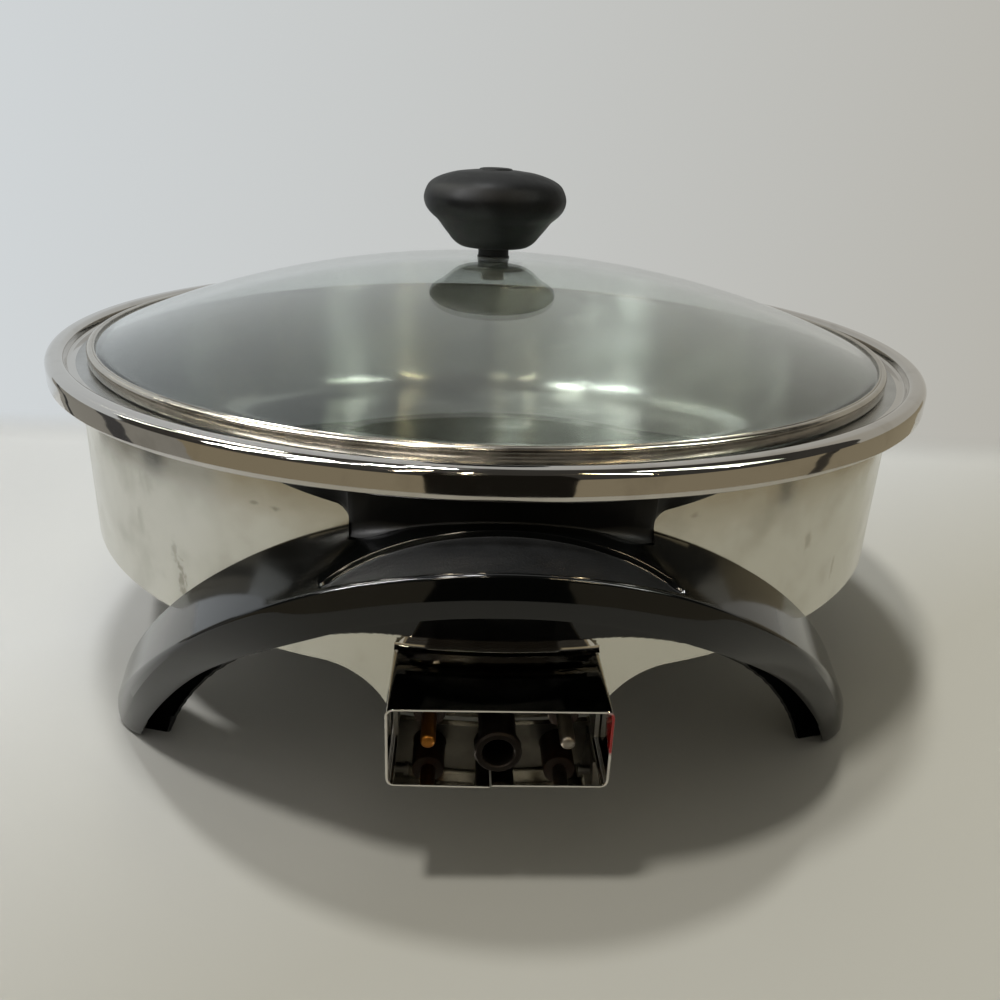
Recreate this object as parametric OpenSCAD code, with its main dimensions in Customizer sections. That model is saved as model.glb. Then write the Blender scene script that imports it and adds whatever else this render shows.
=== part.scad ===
// Round electric skillet with a domed glass lid. The origin is on the table under
// the middle of the pan, +Z is up and the terminal guard faces -Y.

/* [Pan] */
// Outside diameter of the rolled rim
rim_d = 330; // [316:1:344]
// Height of the rim's top above the table
rim_z = 113; // [108:1:122]
// Depth of the pan's floor below the top of the rim
pan_depth = 62; // [54:1:66]
// Thickness of the pan's steel
pan_wall = 1.4; // [1:0.1:1.8]
// Inside radius between the pan's wall and floor
floor_corner_r = 10; // [6:1:16]
// Width of the rounded bead on top of the rim
bead_w = 6.3; // [5.5:0.1:8]
// Width of the slope from the bead down to the lid ledge
ledge_slope_w = 3.2; // [2:0.1:4]
// Depth of the lid ledge below the top of the rim
ledge_drop = 4; // [3:0.1:5]
// Width of the ledge that carries the lid
ledge_w = 6.5; // [5.5:0.1:8]

/* [Jacket] */
// Thickness of the outer shell's steel
shell_t = 0.8; // [0.6:0.1:1.2]
// Air gap between the pan's wall and the outer shell
jacket_gap = 3.8; // [3:0.1:6]
// How far the shell's lower edge hangs below the pan's underside
skirt_drop = 1.6; // [1:0.1:3]
// Width of the shell's in-turned lower flange
shell_flange_w = 14; // [12:1:18]
// Thickness of the base cover's steel
cover_t = 1; // [0.6:0.1:1.4]
// Half width of the lobe that drops around the terminals
lobe_half = 50; // [46:1:56]
// Radius of the lobe's hollow flanks
lobe_r = 22; // [20:1:24]

/* [Heating] */
// Distance from the spreader's edge to the start of the floor's rounding
spreader_inset = 14; // [12:1:30]
// Thickness of the heat spreader
spreader_t = 2.4; // [2:0.1:4]
// Radius of the heating element's loop
loop_r = 95; // [80:1:105]
// Diameter of the heating element's sheath
element_d = 6.6; // [6:0.1:8]
// Radius of the bends where the element turns to its terminals
bend_r = 12; // [9:1:16]
// Spacing of the two terminal pins
pin_spacing = 36; // [32:0.1:38]
// Diameter of a terminal pin
pin_d = 4; // [3.4:0.1:4.6]
// Outside diameter of the probe tube
tube_d = 10; // [9:0.1:11]
// Bore of the probe tube
tube_bore = 8.2; // [6:0.1:8.4]
// Length of the probe tube
tube_len = 126; // [90:1:150]

/* [Terminal guard] */
// Outside width of the sheet steel guard
guard_w = 57; // [54:0.5:62]
// Outside height of the guard
guard_h = 23.4; // [22:0.1:28]
// How far the guard stands out from the shell
guard_reach = 27.5; // [25:0.5:34]
// Thickness of the guard's steel
guard_t = 0.7; // [0.5:0.1:1]
// Corner radius of the guard
guard_corner_r = 2.2; // [1.5:0.1:4]
// Height of the tab that turns up against the shell
tab_h = 5.4; // [4:0.1:6]
// How far the pin tips sit inside the guard's mouth
pin_inset = 4.2; // [2:0.1:8]

/* [Handles] */
// How far the grips stand out from the shell
handle_reach = 29.5; // [27:0.5:36]
// Radius of the handle's front edge, seen from above
handle_plan_r = 141; // [136:1:160]
// Depth of the grip's top edge below the rim's top
grip_drop = 19; // [18:0.5:24]
// Half of the arch's width at the feet, at its front
foot_half = 113.5; // [108:0.5:118]
// Height of the arch's front face at the grip
face_h = 10.8; // [9:0.1:13]
// Width of the arch's front face at the feet
foot_face_w = 10; // [3:0.1:15]
// Wall of the arch moulding
arch_wall = 3.4; // [2.8:0.1:4]
// Thickness of the flange beside the pan
back_wall = 4.5; // [4:0.1:6]
// Depth of the lens shaped recess in the grip
lens_depth = 1.2; // [0.6:0.1:1.6]
// Radius of the lens's rear edge, seen from above
lens_r = 56; // [48:1:70]
// Growth of the arch from front to back, per millimetre
draft = 0.0016; // [0.0008:0.0002:0.002]
// Spacing of the two handle screws
screw_spacing = 36; // [30:1:40]

/* [Lid] */
// Play between the lid band and the ledge's outer edge
lid_play = 3.8; // [2:0.1:4]
// Height of the lid's steel band
band_h = 5; // [4.4:0.1:6]
// Thickness of the band's steel
band_t = 0.6; // [0.4:0.1:0.8]
// How far the band's lips lap over the glass
band_lap = 2.8; // [2:0.1:4]
// Thickness of the glass
glass_t = 4; // [3.4:0.1:5]
// Height of the glass crown above the rim's top
crown_h = 28.8; // [22:0.1:36]
// Largest diameter of the knob
knob_d = 55.2; // [50:0.5:62]
// Diameter of the knob's neck
neck_d = 12; // [10.6:0.1:14]

/* [Hidden] */
$fn = 96;

fit = 0.3;               // clearance between seated pieces
slip = 0.15;             // clearance around pins and screws
eps = 0.01;

// rim and ledge radii, outside to inside
rim_r = rim_d / 2;
bead_in_r = rim_r - bead_w;
ledge_out_r = bead_in_r - ledge_slope_w;
well_r = ledge_out_r - ledge_w;
lid_r = ledge_out_r - lid_play;
rim_edge_r = 2.5;        // outer rounding of the rim
bead_edge_r = 1.5;       // inner rounding of the bead
curl_w = 4.5;            // width of the curl under the rim

// levels of the pan
ledge_z = rim_z - ledge_drop;
face_z = ledge_z - 2 * pan_wall - 2 * fit - shell_t;
floor_z = rim_z - pan_depth;
under_z = floor_z - pan_wall;
corner_c = well_r - floor_corner_r;

// jacket
shell_r = well_r + pan_wall + jacket_gap + shell_t;
shell_in_r = shell_r - shell_t;
shell_z = under_z - skirt_drop;
cover_inset = 4;         // cover's edge to the shell
dish_inset = 10;         // dish's edge to the shell's flange
dish_slope = 4;
shell_flange_r = shell_in_r - shell_flange_w;
flange_end = 0.7;        // gap from the shell's top flange to the rim's inside
lobe_flange_cut = 5;     // the lower flange starts this far inside the lobe
lobe_sill = 1.5;         // wall left under the window
cover_rim_z = shell_z - fit - cover_t;
cover_rim_r = shell_in_r - cover_inset;
dish_r = shell_flange_r - dish_inset;
dish_foot_r = dish_r - dish_slope;
base_screw_at = (shell_flange_r + cover_rim_r) / 2;
base_screw_r = 1.3;
base_head_r = 2.6;
base_head_h = 1.5;
base_screw_over = 1.4;   // thread that stands out above the flange

// heating parts hang under the spreader
spreader_z = under_z - spreader_t;
pin_step = 0.2;          // shoulder where a pin enters its insulator
element_r = element_d / 2;
element_z = spreader_z - fit - element_r;
pin_x = pin_spacing / 2;
pin_r = pin_d / 2;
shank_r = pin_r - pin_step;
tube_r = tube_d / 2;
tube_z = spreader_z - fit - tube_r;
strap_t = 0.8;           // sheet of the element and probe clips
strap_w = 10;
strap_foot = 6;
ferrule_t = 0.2;         // sheath of the ferrules at the element's bends
ferrule_w = 2;
lobe_z = tube_z - tube_r - fit - strap_t - fit - cover_t;

// guard and what sticks into it
seam = 0.5;
seam_x = -2;
tab_corner = 5;
tab_gap = 0.1;           // the tab's back to the shell, beyond the usual clearance
guard_z = lobe_z - fit - guard_t;
guard_top = guard_z + guard_h;
guard_y = shell_r + guard_reach;
guard_in = guard_w / 2 - guard_t;
plate_r = shell_in_r - fit;
plate_t = 1.2;
plate_in_r = plate_r - plate_t;
window_x = guard_in;
window_drop = 4;         // wall left between the window and the guard's top
window_top = guard_top - guard_t - window_drop;
tip_y = guard_y - pin_inset;
tube_proud = 1.5;        // the tube's mouth stands this far before the pins' tips
mouth_y = tip_y + tube_proud;
tube_end_t = 1.5;
collar_t = 1.1;
collar_w = 2.4;
insulator_r = 4.5;
insulator_flange_r = 6;
insulator_flange_t = 3;
insulator_reach = 10;
insulator_y = shell_r + insulator_reach;
plate_back_y = sqrt(pow(plate_in_r, 2) - pow(pin_x + insulator_flange_r, 2));
flange_back_y = plate_back_y - fit - insulator_flange_t;
sheath_y = flange_back_y - fit;
pin_seat = 6;            // how deep a pin sits in its sheath
ear_t = 1.2;
ear_x = guard_in - fit;
ear_reach = 5;           // ear beyond the rivet
ear_low = lobe_z + 4 * cover_t;
ear_high = window_top - cover_t;
rivet_r = 1.2;
rivet_head_r = 2;
rivet_head_t = 1;
rivet_tail_t = 0.8;
rivet_back = 8;
rivet_y = shell_r + rivet_back;
rivet_z = (ear_low + ear_high) / 2;

// handles
grip_y = shell_r + handle_reach;
grip_z = rim_z - grip_drop;
plan_cy = grip_y - handle_plan_r;
lens_lip = 2.2;          // width left in front of the lens
lens_back = 6;           // distance from the lens's rear edge to the shell
back_r = shell_r + fit;
tab_room = 0.4;          // gap over the guard's tab
pad_z = guard_top + tab_h + tab_room;
pad_top = face_z - tab_room;
pad_half = 37;
pad_depth = 6.7;         // how far the pad stands out from the shell
pad_side = pad_half + 2.4;
wing_half = 70;          // the pad's wings run this far along the rim
wing_tip_h = 1.2;        // height of a wing at its end
wing_root_h = 6;         // and where it meets the pad's side
notch_r = 4.6;           // rounding between the wing and the pad's side
boss_r = 5;
boss_h = 8;
boss_drop = 6;           // length of a boss below the grip's wall
boss_z = grip_z - arch_wall - boss_drop;
boss_x = screw_spacing / 2;
boss_back = 14;
boss_y = shell_r + boss_back;
screw_r = 1.7;
screw_head_r = 3.6;
screw_head_h = 2.4;
bracket_t = 2;
bracket_half = 25;
bracket_lap = 7;         // tongue beyond the screws
bracket_top = boss_z - fit;
weld_t = 1.5;
weld_h = 14;

// lid
band_z = ledge_z + fit;
glass_edge_z = band_z + band_t + fit;
glass_edge_top = band_z + band_h - band_t - fit;
glass_r = lid_r - band_t - fit;
crown_z = rim_z + crown_h;
lap_r = lid_r - band_lap;
crown_rise = crown_z - glass_edge_top;
dome_r = (pow(lap_r, 2) + pow(crown_rise, 2)) / (2 * crown_rise);
glass_hole_r = 3.2;
rim_lap = 2.4;           // flat rim of the glass inside the band's lips
seal_t = 1;
seal_r = 11.5;
washer_t = 1.2;
washer_r = 13.5;
seal_z = crown_z - glass_t - fit - seal_t;
washer_z = seal_z - washer_t;
gasket_t = 0.8;
neck_z = crown_z + gasket_t;
neck_h = 3.4;
knob_h = 28.7;
knob_z = neck_z + neck_h;
knob_r = knob_d / 2;
knob_screw_r = 1.9;
knob_head_r = 4.6;
knob_head_h = 3.6;
insert_r = 3.4;
insert_h = 15;
gasket_r = neck_d / 2 + 0.3;
cap_r = 6.5;
cap_t = 2.2;
cap_seat = 1.6;          // depth of the cap's seat
band_corner = 0.5;

function arc(x, y, r, from, to, n) =
    [for (i = [0:n]) [x + r * cos(from + (to - from) * i / n), y + r * sin(from + (to - from) * i / n)]];
function bez(p, t) = pow(1 - t, 3) * p[0] + 3 * pow(1 - t, 2) * t * p[1]
    + 3 * (1 - t) * t * t * p[2] + pow(t, 3) * p[3];
function slope(p, t) = 3 * pow(1 - t, 2) * (p[1] - p[0]) + 6 * (1 - t) * t * (p[2] - p[1])
    + 3 * t * t * (p[3] - p[2]);
function inward(p, t) = let (d = slope(p, t)) [d[1], -d[0]] / norm(d);
function flip(p) = [for (i = [len(p) - 1:-1:0]) [-p[i][0], p[i][1]]];

// Extrudes a front view (x, z) from y = -from to y = -to.
module front_prism(from, to) {
    translate([0, -from, 0]) rotate([90, 0, 0]) linear_extrude(to - from) children();
}

module ring(r, t, z, h) {
    translate([0, 0, z]) difference() {
        cylinder(r = r, h = h, $fn = 240);
        translate([0, 0, -1]) cylinder(r = r - t, h = h + 2, $fn = 240);
    }
}

module round_rect(w, h, r) {
    translate([r - w / 2, 0]) square([w - 2 * r, h]);
    translate([-w / 2, r]) square([w, h - 2 * r]);
    for (x = [r - w / 2, w / 2 - r], y = [r, h - r]) translate([x, y]) circle(r, $fn = 32);
}

// ---------------------------------------------------------------- pan

module pan() {
    color("gainsboro") rotate_extrude($fn = 240) polygon(concat(
        [[rim_r - curl_w, face_z]],
        arc(rim_r - 1, face_z + 1, 1, -90, 0, 3),
        arc(rim_r - rim_edge_r, rim_z - rim_edge_r, rim_edge_r, 0, 90, 6),
        arc(bead_in_r + bead_edge_r, rim_z - bead_edge_r, bead_edge_r, 90, 150, 4),
        [[ledge_out_r, ledge_z]],
        arc(well_r + 1, ledge_z - 1, 1, 90, 180, 3),
        arc(corner_c, floor_z + floor_corner_r, floor_corner_r, 0, -90, 8),
        [[0, floor_z], [0, under_z]],
        arc(corner_c, floor_z + floor_corner_r, floor_corner_r + pan_wall, -90, 0, 8),
        [[well_r + pan_wall, ledge_z - pan_wall],
         [ledge_out_r + 0.4 * pan_wall, ledge_z - pan_wall],
         [bead_in_r + 1.2 * pan_wall, rim_z - pan_wall]],
        arc(rim_r - rim_edge_r, rim_z - rim_edge_r, max(0.4, rim_edge_r - pan_wall), 90, 0, 4),
        [[rim_r - pan_wall, face_z + pan_wall], [rim_r - curl_w, face_z + pan_wall]]));
}

// ------------------------------------------------------------- jacket

// Front view of the lobe; grow shrinks it evenly for the inside of the sheet.
module lobe_view(grow = 0) {
    difference() {
        translate([-lobe_half, lobe_z + grow])
            square([2 * lobe_half, shell_z + shell_t - lobe_z - grow]);
        for (side = [-1, 1]) translate([side * lobe_half, shell_z - lobe_r])
            circle(lobe_r + grow);
    }
}

module outer_shell() {
    flange_z = face_z + pan_wall + fit;
    mouth_x = lobe_half - lobe_flange_cut;
    flange_out_r = rim_r - pan_wall - flange_end;
    color("lightgray") difference() {
        union() {
            rotate_extrude($fn = 240) polygon([
                [shell_flange_r, shell_z], [shell_r, shell_z], [shell_r, flange_z],
                [flange_out_r, flange_z], [flange_out_r, flange_z + shell_t],
                [shell_in_r, flange_z + shell_t], [shell_in_r, shell_z + shell_t],
                [shell_flange_r, shell_z + shell_t]]);
            intersection() {
                ring(shell_r, shell_t, lobe_z, shell_z + shell_t - lobe_z);
                front_prism(shell_in_r / 2, shell_r + 1) lobe_view();
            }
        }
        // the flange is cut away behind the lobe
        intersection() {
            translate([-mouth_x, -shell_r, shell_z - 1])
                cube([2 * mouth_x, shell_r - shell_in_r / 2, shell_t + 2]);
            translate([0, 0, shell_z - 2]) cylinder(r = shell_in_r, h = shell_t + 4, $fn = 240);
        }
        // window for the pins, the probe tube and the bracket's ears
        translate([-window_x, -shell_r - 1, lobe_z + lobe_sill])
            cube([2 * window_x, shell_r / 8, window_top - lobe_z - lobe_sill]);
        for (a = [0:7]) rotate([0, 0, 22.5 + 45 * a])
            translate([base_screw_at, 0, shell_z - 1]) cylinder(r = base_screw_r + slip, h = shell_t + 2);
    }
}

module base_cover() {
    color("silver") difference() {
        union() {
            rotate_extrude($fn = 240) polygon([
                [0, lobe_z], [dish_foot_r, lobe_z], [dish_r, cover_rim_z],
                [cover_rim_r, cover_rim_z], [cover_rim_r, cover_rim_z + cover_t],
                [0, cover_rim_z + cover_t]]);
            intersection() {
                translate([0, 0, lobe_z]) cylinder(r = shell_in_r - fit, h = cover_rim_z + cover_t - lobe_z,
                    $fn = 240);
                front_prism(dish_r / 2, shell_r) lobe_view();
            }
        }
        rotate_extrude($fn = 240) polygon([
            [0, lobe_z + cover_t], [dish_foot_r - cover_t / 2, lobe_z + cover_t],
            [dish_r - cover_t, cover_rim_z + cover_t + 1], [0, cover_rim_z + cover_t + 1]]);
        front_prism(dish_r / 2, shell_r) lobe_view(cover_t);
        for (a = [0:7]) rotate([0, 0, 22.5 + 45 * a])
            translate([base_screw_at, 0, cover_rim_z - 1]) cylinder(r = base_screw_r + slip, h = cover_t + 2);
    }
}

module base_screws() {
    slot_w = 0.6;
    slot_d = 0.6;
    color("dimgray") for (a = [0:7]) rotate([0, 0, 22.5 + 45 * a])
        translate([base_screw_at, 0, cover_rim_z]) {
            difference() {
                translate([0, 0, -base_head_h]) cylinder(r = base_head_r, h = base_head_h, $fn = 32);
                translate([-base_head_r, -slot_w / 2, -base_head_h - 1])
                    cube([2 * base_head_r, slot_w, slot_d + 1]);
            }
            translate([0, 0, -base_head_h / 3]) cylinder(r = base_screw_r,
                h = base_head_h / 3 + cover_t + fit + shell_t + base_screw_over, $fn = 32);
        }
}

// ------------------------------------------------------------ heating

module heat_spreader() {
    color("silver") translate([0, 0, spreader_z])
        cylinder(r = corner_c - spreader_inset, h = spreader_t, $fn = 180);
}

module heating_element() {
    bend_x = pin_x + bend_r;
    reach = loop_r + bend_r;
    bend_y = sqrt(pow(reach, 2) - pow(bend_x, 2));
    gap_a = asin(bend_x / reach);
    short = 0.5;         // degrees that each arc stops short inside its ferrule
    ferrule_r = element_r + ferrule_t;
    start_y = bend_y + ferrule_w / 10;
    color("dimgray") translate([0, 0, element_z]) {
        rotate([0, 0, gap_a - 90 + short]) rotate_extrude(angle = 360 - 2 * gap_a - 2 * short)
            translate([loop_r, 0]) circle(element_r, $fn = 32);
        for (side = [0, 1]) mirror([side, 0, 0]) {
            rotate([0, 0, gap_a - 90]) translate([loop_r, 0, 0]) rotate([90, 0, 0])
                cylinder(r = ferrule_r, h = ferrule_w, center = true, $fn = 32);
            translate([bend_x, -bend_y, 0]) rotate([0, 0, 90 + gap_a + short])
                rotate_extrude(angle = 90 - gap_a - 2 * short)
                translate([bend_r, 0]) circle(element_r, $fn = 32);
            translate([pin_x, -bend_y, 0]) rotate([90, 0, 0])
                cylinder(r = ferrule_r, h = ferrule_w, center = true, $fn = 32);
            translate([pin_x, -start_y, 0]) rotate([90, 0, 0]) difference() {
                cylinder(r = element_r, h = sheath_y - start_y, $fn = 32);
                translate([0, 0, sheath_y - start_y - pin_seat - slip])
                    cylinder(r = shank_r + slip, h = pin_seat + 1, $fn = 32);
            }
        }
    }
}

// Strap over a round piece of radius r hung at depth drop under the spreader.
module strap(r, drop) {
    inner = r + fit;
    outer = inner + strap_t;
    front_prism(-strap_w / 2, strap_w / 2) {
        difference() {
            translate([0, -drop]) circle(outer, $fn = 48);
            translate([0, -drop]) circle(inner, $fn = 48);
            translate([-outer, -drop]) square([2 * outer, outer + 1]);
        }
        for (side = [0, 1]) mirror([side, 0]) {
            translate([inner, -drop - eps]) square([strap_t, drop + eps]);
            translate([inner, -strap_t]) square([strap_t + strap_foot, strap_t]);
        }
    }
}

module element_clips() {
    color("silver") for (a = [60:60:300]) rotate([0, 0, a - 90])
        translate([loop_r, 0, spreader_z]) strap(element_r, fit + element_r);
}

module probe_clips() {
    near = mouth_y - 0.95 * tube_len;
    color("silver") for (y = [near, (near + loop_r) / 2]) translate([0, -y - strap_w, spreader_z])
        strap(tube_r, fit + tube_r);
}

module terminal_pin(side) {
    back = sheath_y - pin_seat;
    free = insulator_y + fit;
    color("goldenrod") translate([side * pin_x, 0, element_z]) {
        translate([0, -back, 0]) rotate([90, 0, 0])
            cylinder(r = shank_r, h = free - back + eps, $fn = 32);
        translate([0, -free, 0]) rotate([90, 0, 0])
            cylinder(r = pin_r, h = tip_y - pin_r - free, $fn = 32);
        translate([0, pin_r - tip_y, 0]) sphere(pin_r, $fn = 32);
    }
}

module left_terminal_pin() { terminal_pin(-1); }
module right_terminal_pin() { terminal_pin(1); }

module terminal_insulators() {
    color("saddlebrown") for (side = [-1, 1]) translate([side * pin_x, 0, element_z]) difference() {
        union() {
            translate([0, -flange_back_y, 0]) rotate([90, 0, 0])
                cylinder(r = insulator_r, h = insulator_y - flange_back_y, $fn = 48);
            translate([0, -flange_back_y, 0]) rotate([90, 0, 0])
                cylinder(r = insulator_flange_r, h = insulator_flange_t, $fn = 48);
        }
        translate([0, 1 - flange_back_y, 0]) rotate([90, 0, 0])
            cylinder(r = shank_r + slip, h = insulator_y, $fn = 32);
    }
}

module probe_tube() {
    color("silver") translate([0, -mouth_y, tube_z]) difference() {
        union() {
            rotate([-90, 0, 0]) cylinder(r = tube_r, h = tube_len, $fn = 48);
            rotate([-90, 0, 0]) cylinder(r = tube_r + collar_t, h = collar_w, $fn = 48);
        }
        translate([0, -1, 0]) rotate([-90, 0, 0])
            cylinder(d = tube_bore, h = tube_len - tube_end_t + 1, $fn = 48);
    }
}

// Curved plate behind the shell's window, with an ear on each side for the guard.
module terminal_bracket() {
    plate_h = window_top - lobe_z - cover_t - 2 * fit;
    color("gray") difference() {
        union() {
            intersection() {
                ring(plate_r, plate_t, lobe_z + cover_t + fit, plate_h);
                translate([-ear_x, -shell_r, 0]) cube([2 * ear_x, shell_r / 2, rim_z]);
            }
            for (side = [0, 1]) mirror([side, 0, 0])
                translate([ear_x - ear_t, -rivet_y - ear_reach, ear_low])
                cube([ear_t, rivet_y + ear_reach - plate_in_r + 2 * ear_t, ear_high - ear_low]);
        }
        for (side = [-1, 1]) translate([side * pin_x, -shell_r / 2, element_z])
            rotate([90, 0, 0]) cylinder(r = insulator_r + fit, h = shell_r, $fn = 48);
        translate([0, -shell_r / 2, tube_z]) rotate([90, 0, 0])
            cylinder(r = tube_r + fit, h = shell_r, $fn = 48);
        translate([-guard_w, -rivet_y, rivet_z]) rotate([0, 90, 0])
            cylinder(r = rivet_r + slip, h = 2 * guard_w, $fn = 32);
    }
}

// -------------------------------------------------------------- guard

module terminal_guard() {
    color("whitesmoke") difference() {
        union() {
            front_prism(shell_r / 2, guard_y) difference() {
                translate([0, guard_z]) round_rect(guard_w, guard_h, guard_corner_r);
                translate([0, guard_z + guard_t])
                    round_rect(guard_w - 2 * guard_t, guard_h - 2 * guard_t, guard_corner_r - guard_t);
            }
            intersection() {
                ring(back_r + tab_gap + guard_t, guard_t + 2 * tab_gap, guard_top - guard_t,
                    tab_h + guard_t);
                front_prism(shell_r / 2, guard_y) polygon([
                    [-guard_w / 2, guard_top - guard_t], [guard_w / 2, guard_top - guard_t],
                    [guard_w / 2, guard_top + tab_h - tab_corner],
                    [guard_w / 2 - tab_corner, guard_top + tab_h],
                    [tab_corner - guard_w / 2, guard_top + tab_h],
                    [-guard_w / 2, guard_top + tab_h - tab_corner]]);
            }
        }
        translate([0, 0, -1]) cylinder(r = back_r, h = rim_z, $fn = 240);
        translate([seam_x, -guard_y - 1, guard_z - 1]) cube([seam, guard_reach + 2, guard_t + 1.5]);
        translate([-guard_w, -rivet_y, rivet_z]) rotate([0, 90, 0])
            cylinder(r = rivet_r + slip, h = 2 * guard_w, $fn = 32);
    }
}

module guard_rivets() {
    tail_x = ear_x - ear_t - rivet_tail_t;
    color("darkgray") for (side = [0, 1]) mirror([side, 0, 0]) translate([0, -rivet_y, rivet_z]) {
        translate([tail_x, 0, 0]) rotate([0, 90, 0])
            cylinder(r = rivet_head_r, h = rivet_tail_t, $fn = 32);
        translate([tail_x, 0, 0]) rotate([0, 90, 0])
            cylinder(r = rivet_r, h = guard_w / 2 - tail_x + rivet_head_t / 2, $fn = 32);
        translate([guard_w / 2, 0, 0]) rotate([0, 90, 0])
            cylinder(r = rivet_head_r, h = rivet_head_t, $fn = 32);
    }
}

// ------------------------------------------------------------ handles

arch_curve = [[0, grip_z], [51, grip_z], [93, 0.61 * grip_z], [foot_half, 0]];
back_curve = [[28, pad_z], [50, pad_z], [86, 0.77 * pad_z], [foot_half - 7.5, 0]];
arch_steps = 24;
past_foot = 1.06;        // the curves run on below the table and are cut off level

// Half of the arch's front view, w0 inside its outer curve at the grip and w1 at the feet.
function arch_line(w0, w1) = [for (i = [0:arch_steps]) let (t = past_foot * i / arch_steps)
    bez(arch_curve, t) + (w0 + (w1 - w0) * t) * inward(arch_curve, t)];

// Front view of the arch from its outer curve inwards; over adds a margin outside it.
module arch_band(w0, w1, over = 0) {
    outer = arch_line(-over, -over);
    inner = arch_line(w0, w1);
    polygon(concat(flip(outer), outer, [for (i = [arch_steps:-1:0]) inner[i]],
        [for (p = inner) [-p[0], p[1]]]));
}

// Front view of everything under the arch's outer curve.
module arch_fill() {
    outer = arch_line(0, 0);
    polygon(concat(flip(outer), outer));
}

// Front view of everything above the lower edge of the flange beside the pan.
module back_fill() {
    low = [for (i = [0:arch_steps]) bez(back_curve, past_foot * i / arch_steps)];
    far = 2 * foot_half;
    bottom = low[arch_steps][1];
    polygon(concat(flip(low), low,
        [[far, bottom], [far, rim_z], [-far, rim_z], [-far, bottom]]));
}

// Grows a front view evenly from the grip's front edge towards the pan.
module drafted() {
    depth = grip_y - shell_r / 2;
    translate([0, -grip_y, 0]) mirror([0, 1, 0]) rotate([90, 0, 0])
        linear_extrude(depth, scale = 1 + draft * depth) children();
}

// Plan of the arch between the pan and its front edge, inset from the front.
module plan(inset, back) {
    difference() {
        translate([0, -plan_cy, 0]) cylinder(r = handle_plan_r - inset, h = rim_z, $fn = 240);
        translate([0, 0, -1]) cylinder(r = back, h = rim_z + 2, $fn = 240);
        translate([-shell_r, -shell_r / 2, -1]) cube([2 * shell_r, 3 * shell_r, rim_z + 2]);
    }
}

// Front view of the pad and the wings that lie against the shell under the rim.
module pad_view() {
    half = concat([[wing_half, pad_top], [wing_half, pad_top - wing_tip_h]],
        arc(pad_side + notch_r, pad_top - wing_root_h - notch_r, notch_r, 90, 180, 6),
        [[pad_side, grip_z - arch_wall]]);
    polygon(concat(half, [for (i = [len(half) - 1:-1:0]) [-half[i][0], half[i][1]]]));
}

module arch_handle() {
    difference() {
        union() {
            intersection() {
                drafted() arch_band(arch_wall, arch_wall);
                plan(0, back_r);
            }
            intersection() {
                drafted() arch_band(face_h, foot_face_w);
                plan(0, back_r);
                difference() {
                    plan(0, back_r);
                    translate([0, -plan_cy, -2])
                        cylinder(r = handle_plan_r - arch_wall, h = rim_z + 6, $fn = 240);
                }
            }
            intersection() {
                drafted() arch_fill();
                ring(back_r + back_wall, back_wall, 0, rim_z);
                front_prism(shell_r / 2, grip_y) back_fill();
            }
            intersection() {
                ring(back_r + back_wall, back_wall, 0, rim_z);
                front_prism(shell_r / 2, grip_y) pad_view();
            }
            intersection() {
                ring(back_r + pad_depth, pad_depth - back_wall + 1, grip_z - arch_wall,
                    pad_top - grip_z + arch_wall);
                translate([-pad_half, -grip_y, 0]) cube([2 * pad_half, grip_y, rim_z]);
            }
            for (side = [-1, 1]) translate([side * boss_x, -boss_y, boss_z])
                cylinder(r = boss_r, h = boss_h, $fn = 48);
        }
        // shallow lens in the top of the grip
        intersection() {
            drafted() arch_band(lens_depth, lens_depth, 1);
            translate([0, 0, grip_z / 2]) intersection() {
                translate([0, -plan_cy, 0])
                    cylinder(r = handle_plan_r - lens_lip, h = grip_z, $fn = 240);
                translate([0, -shell_r - lens_back - lens_r, 0])
                    cylinder(r = lens_r, h = grip_z, $fn = 180);
            }
        }
        // pocket over the bracket's weld flange and slot for its tongue
        intersection() {
            ring(back_r + weld_t + 2 * fit, weld_t + 3 * fit, bracket_top - weld_h - fit,
                weld_h + 2 * fit);
            translate([-bracket_half - fit, -grip_y, 0]) cube([2 * bracket_half + 2 * fit, grip_y, rim_z]);
        }
        translate([-bracket_half - fit, -back_r - back_wall - 1, bracket_top - bracket_t - fit])
            cube([2 * bracket_half + 2 * fit, back_wall + boss_back, bracket_t + 2 * fit]);
        for (side = [-1, 1]) translate([side * boss_x, -boss_y, boss_z - 1])
            cylinder(r = screw_r + slip, h = boss_h, $fn = 32);
    }
}

module handle_bracket() {
    end_y = boss_y + bracket_lap;
    difference() {
        union() {
            intersection() {
                ring(back_r + weld_t, weld_t, bracket_top - weld_h, weld_h);
                translate([-bracket_half, -grip_y, 0]) cube([2 * bracket_half, grip_y, rim_z]);
            }
            difference() {
                translate([-bracket_half, -end_y, bracket_top - bracket_t])
                    cube([2 * bracket_half, end_y - shell_r / 2, bracket_t]);
                translate([0, 0, bracket_top - bracket_t - 1])
                    cylinder(r = back_r + weld_t / 2, h = bracket_t + 2, $fn = 240);
            }
        }
        for (side = [-1, 1]) translate([side * boss_x, -boss_y, bracket_top - bracket_t - 1])
            cylinder(r = screw_r + slip, h = bracket_t + 2, $fn = 32);
    }
}

module handle_screws() {
    slot_w = 1;
    slot_d = screw_head_h / 2;
    for (side = [-1, 1]) translate([side * boss_x, -boss_y, bracket_top - bracket_t]) {
        difference() {
            translate([0, 0, -screw_head_h]) cylinder(r = screw_head_r, h = screw_head_h, $fn = 32);
            for (a = [0, 90]) rotate([0, 0, a]) translate([-screw_head_r * 0.6, -slot_w / 2,
                -screw_head_h - 1]) cube([screw_head_r * 1.2, slot_w, slot_d + 1]);
        }
        translate([0, 0, -screw_head_h / 4])
            cylinder(r = screw_r, h = screw_head_h / 4 + bracket_t + boss_h * 0.75, $fn = 32);
    }
}

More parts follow.
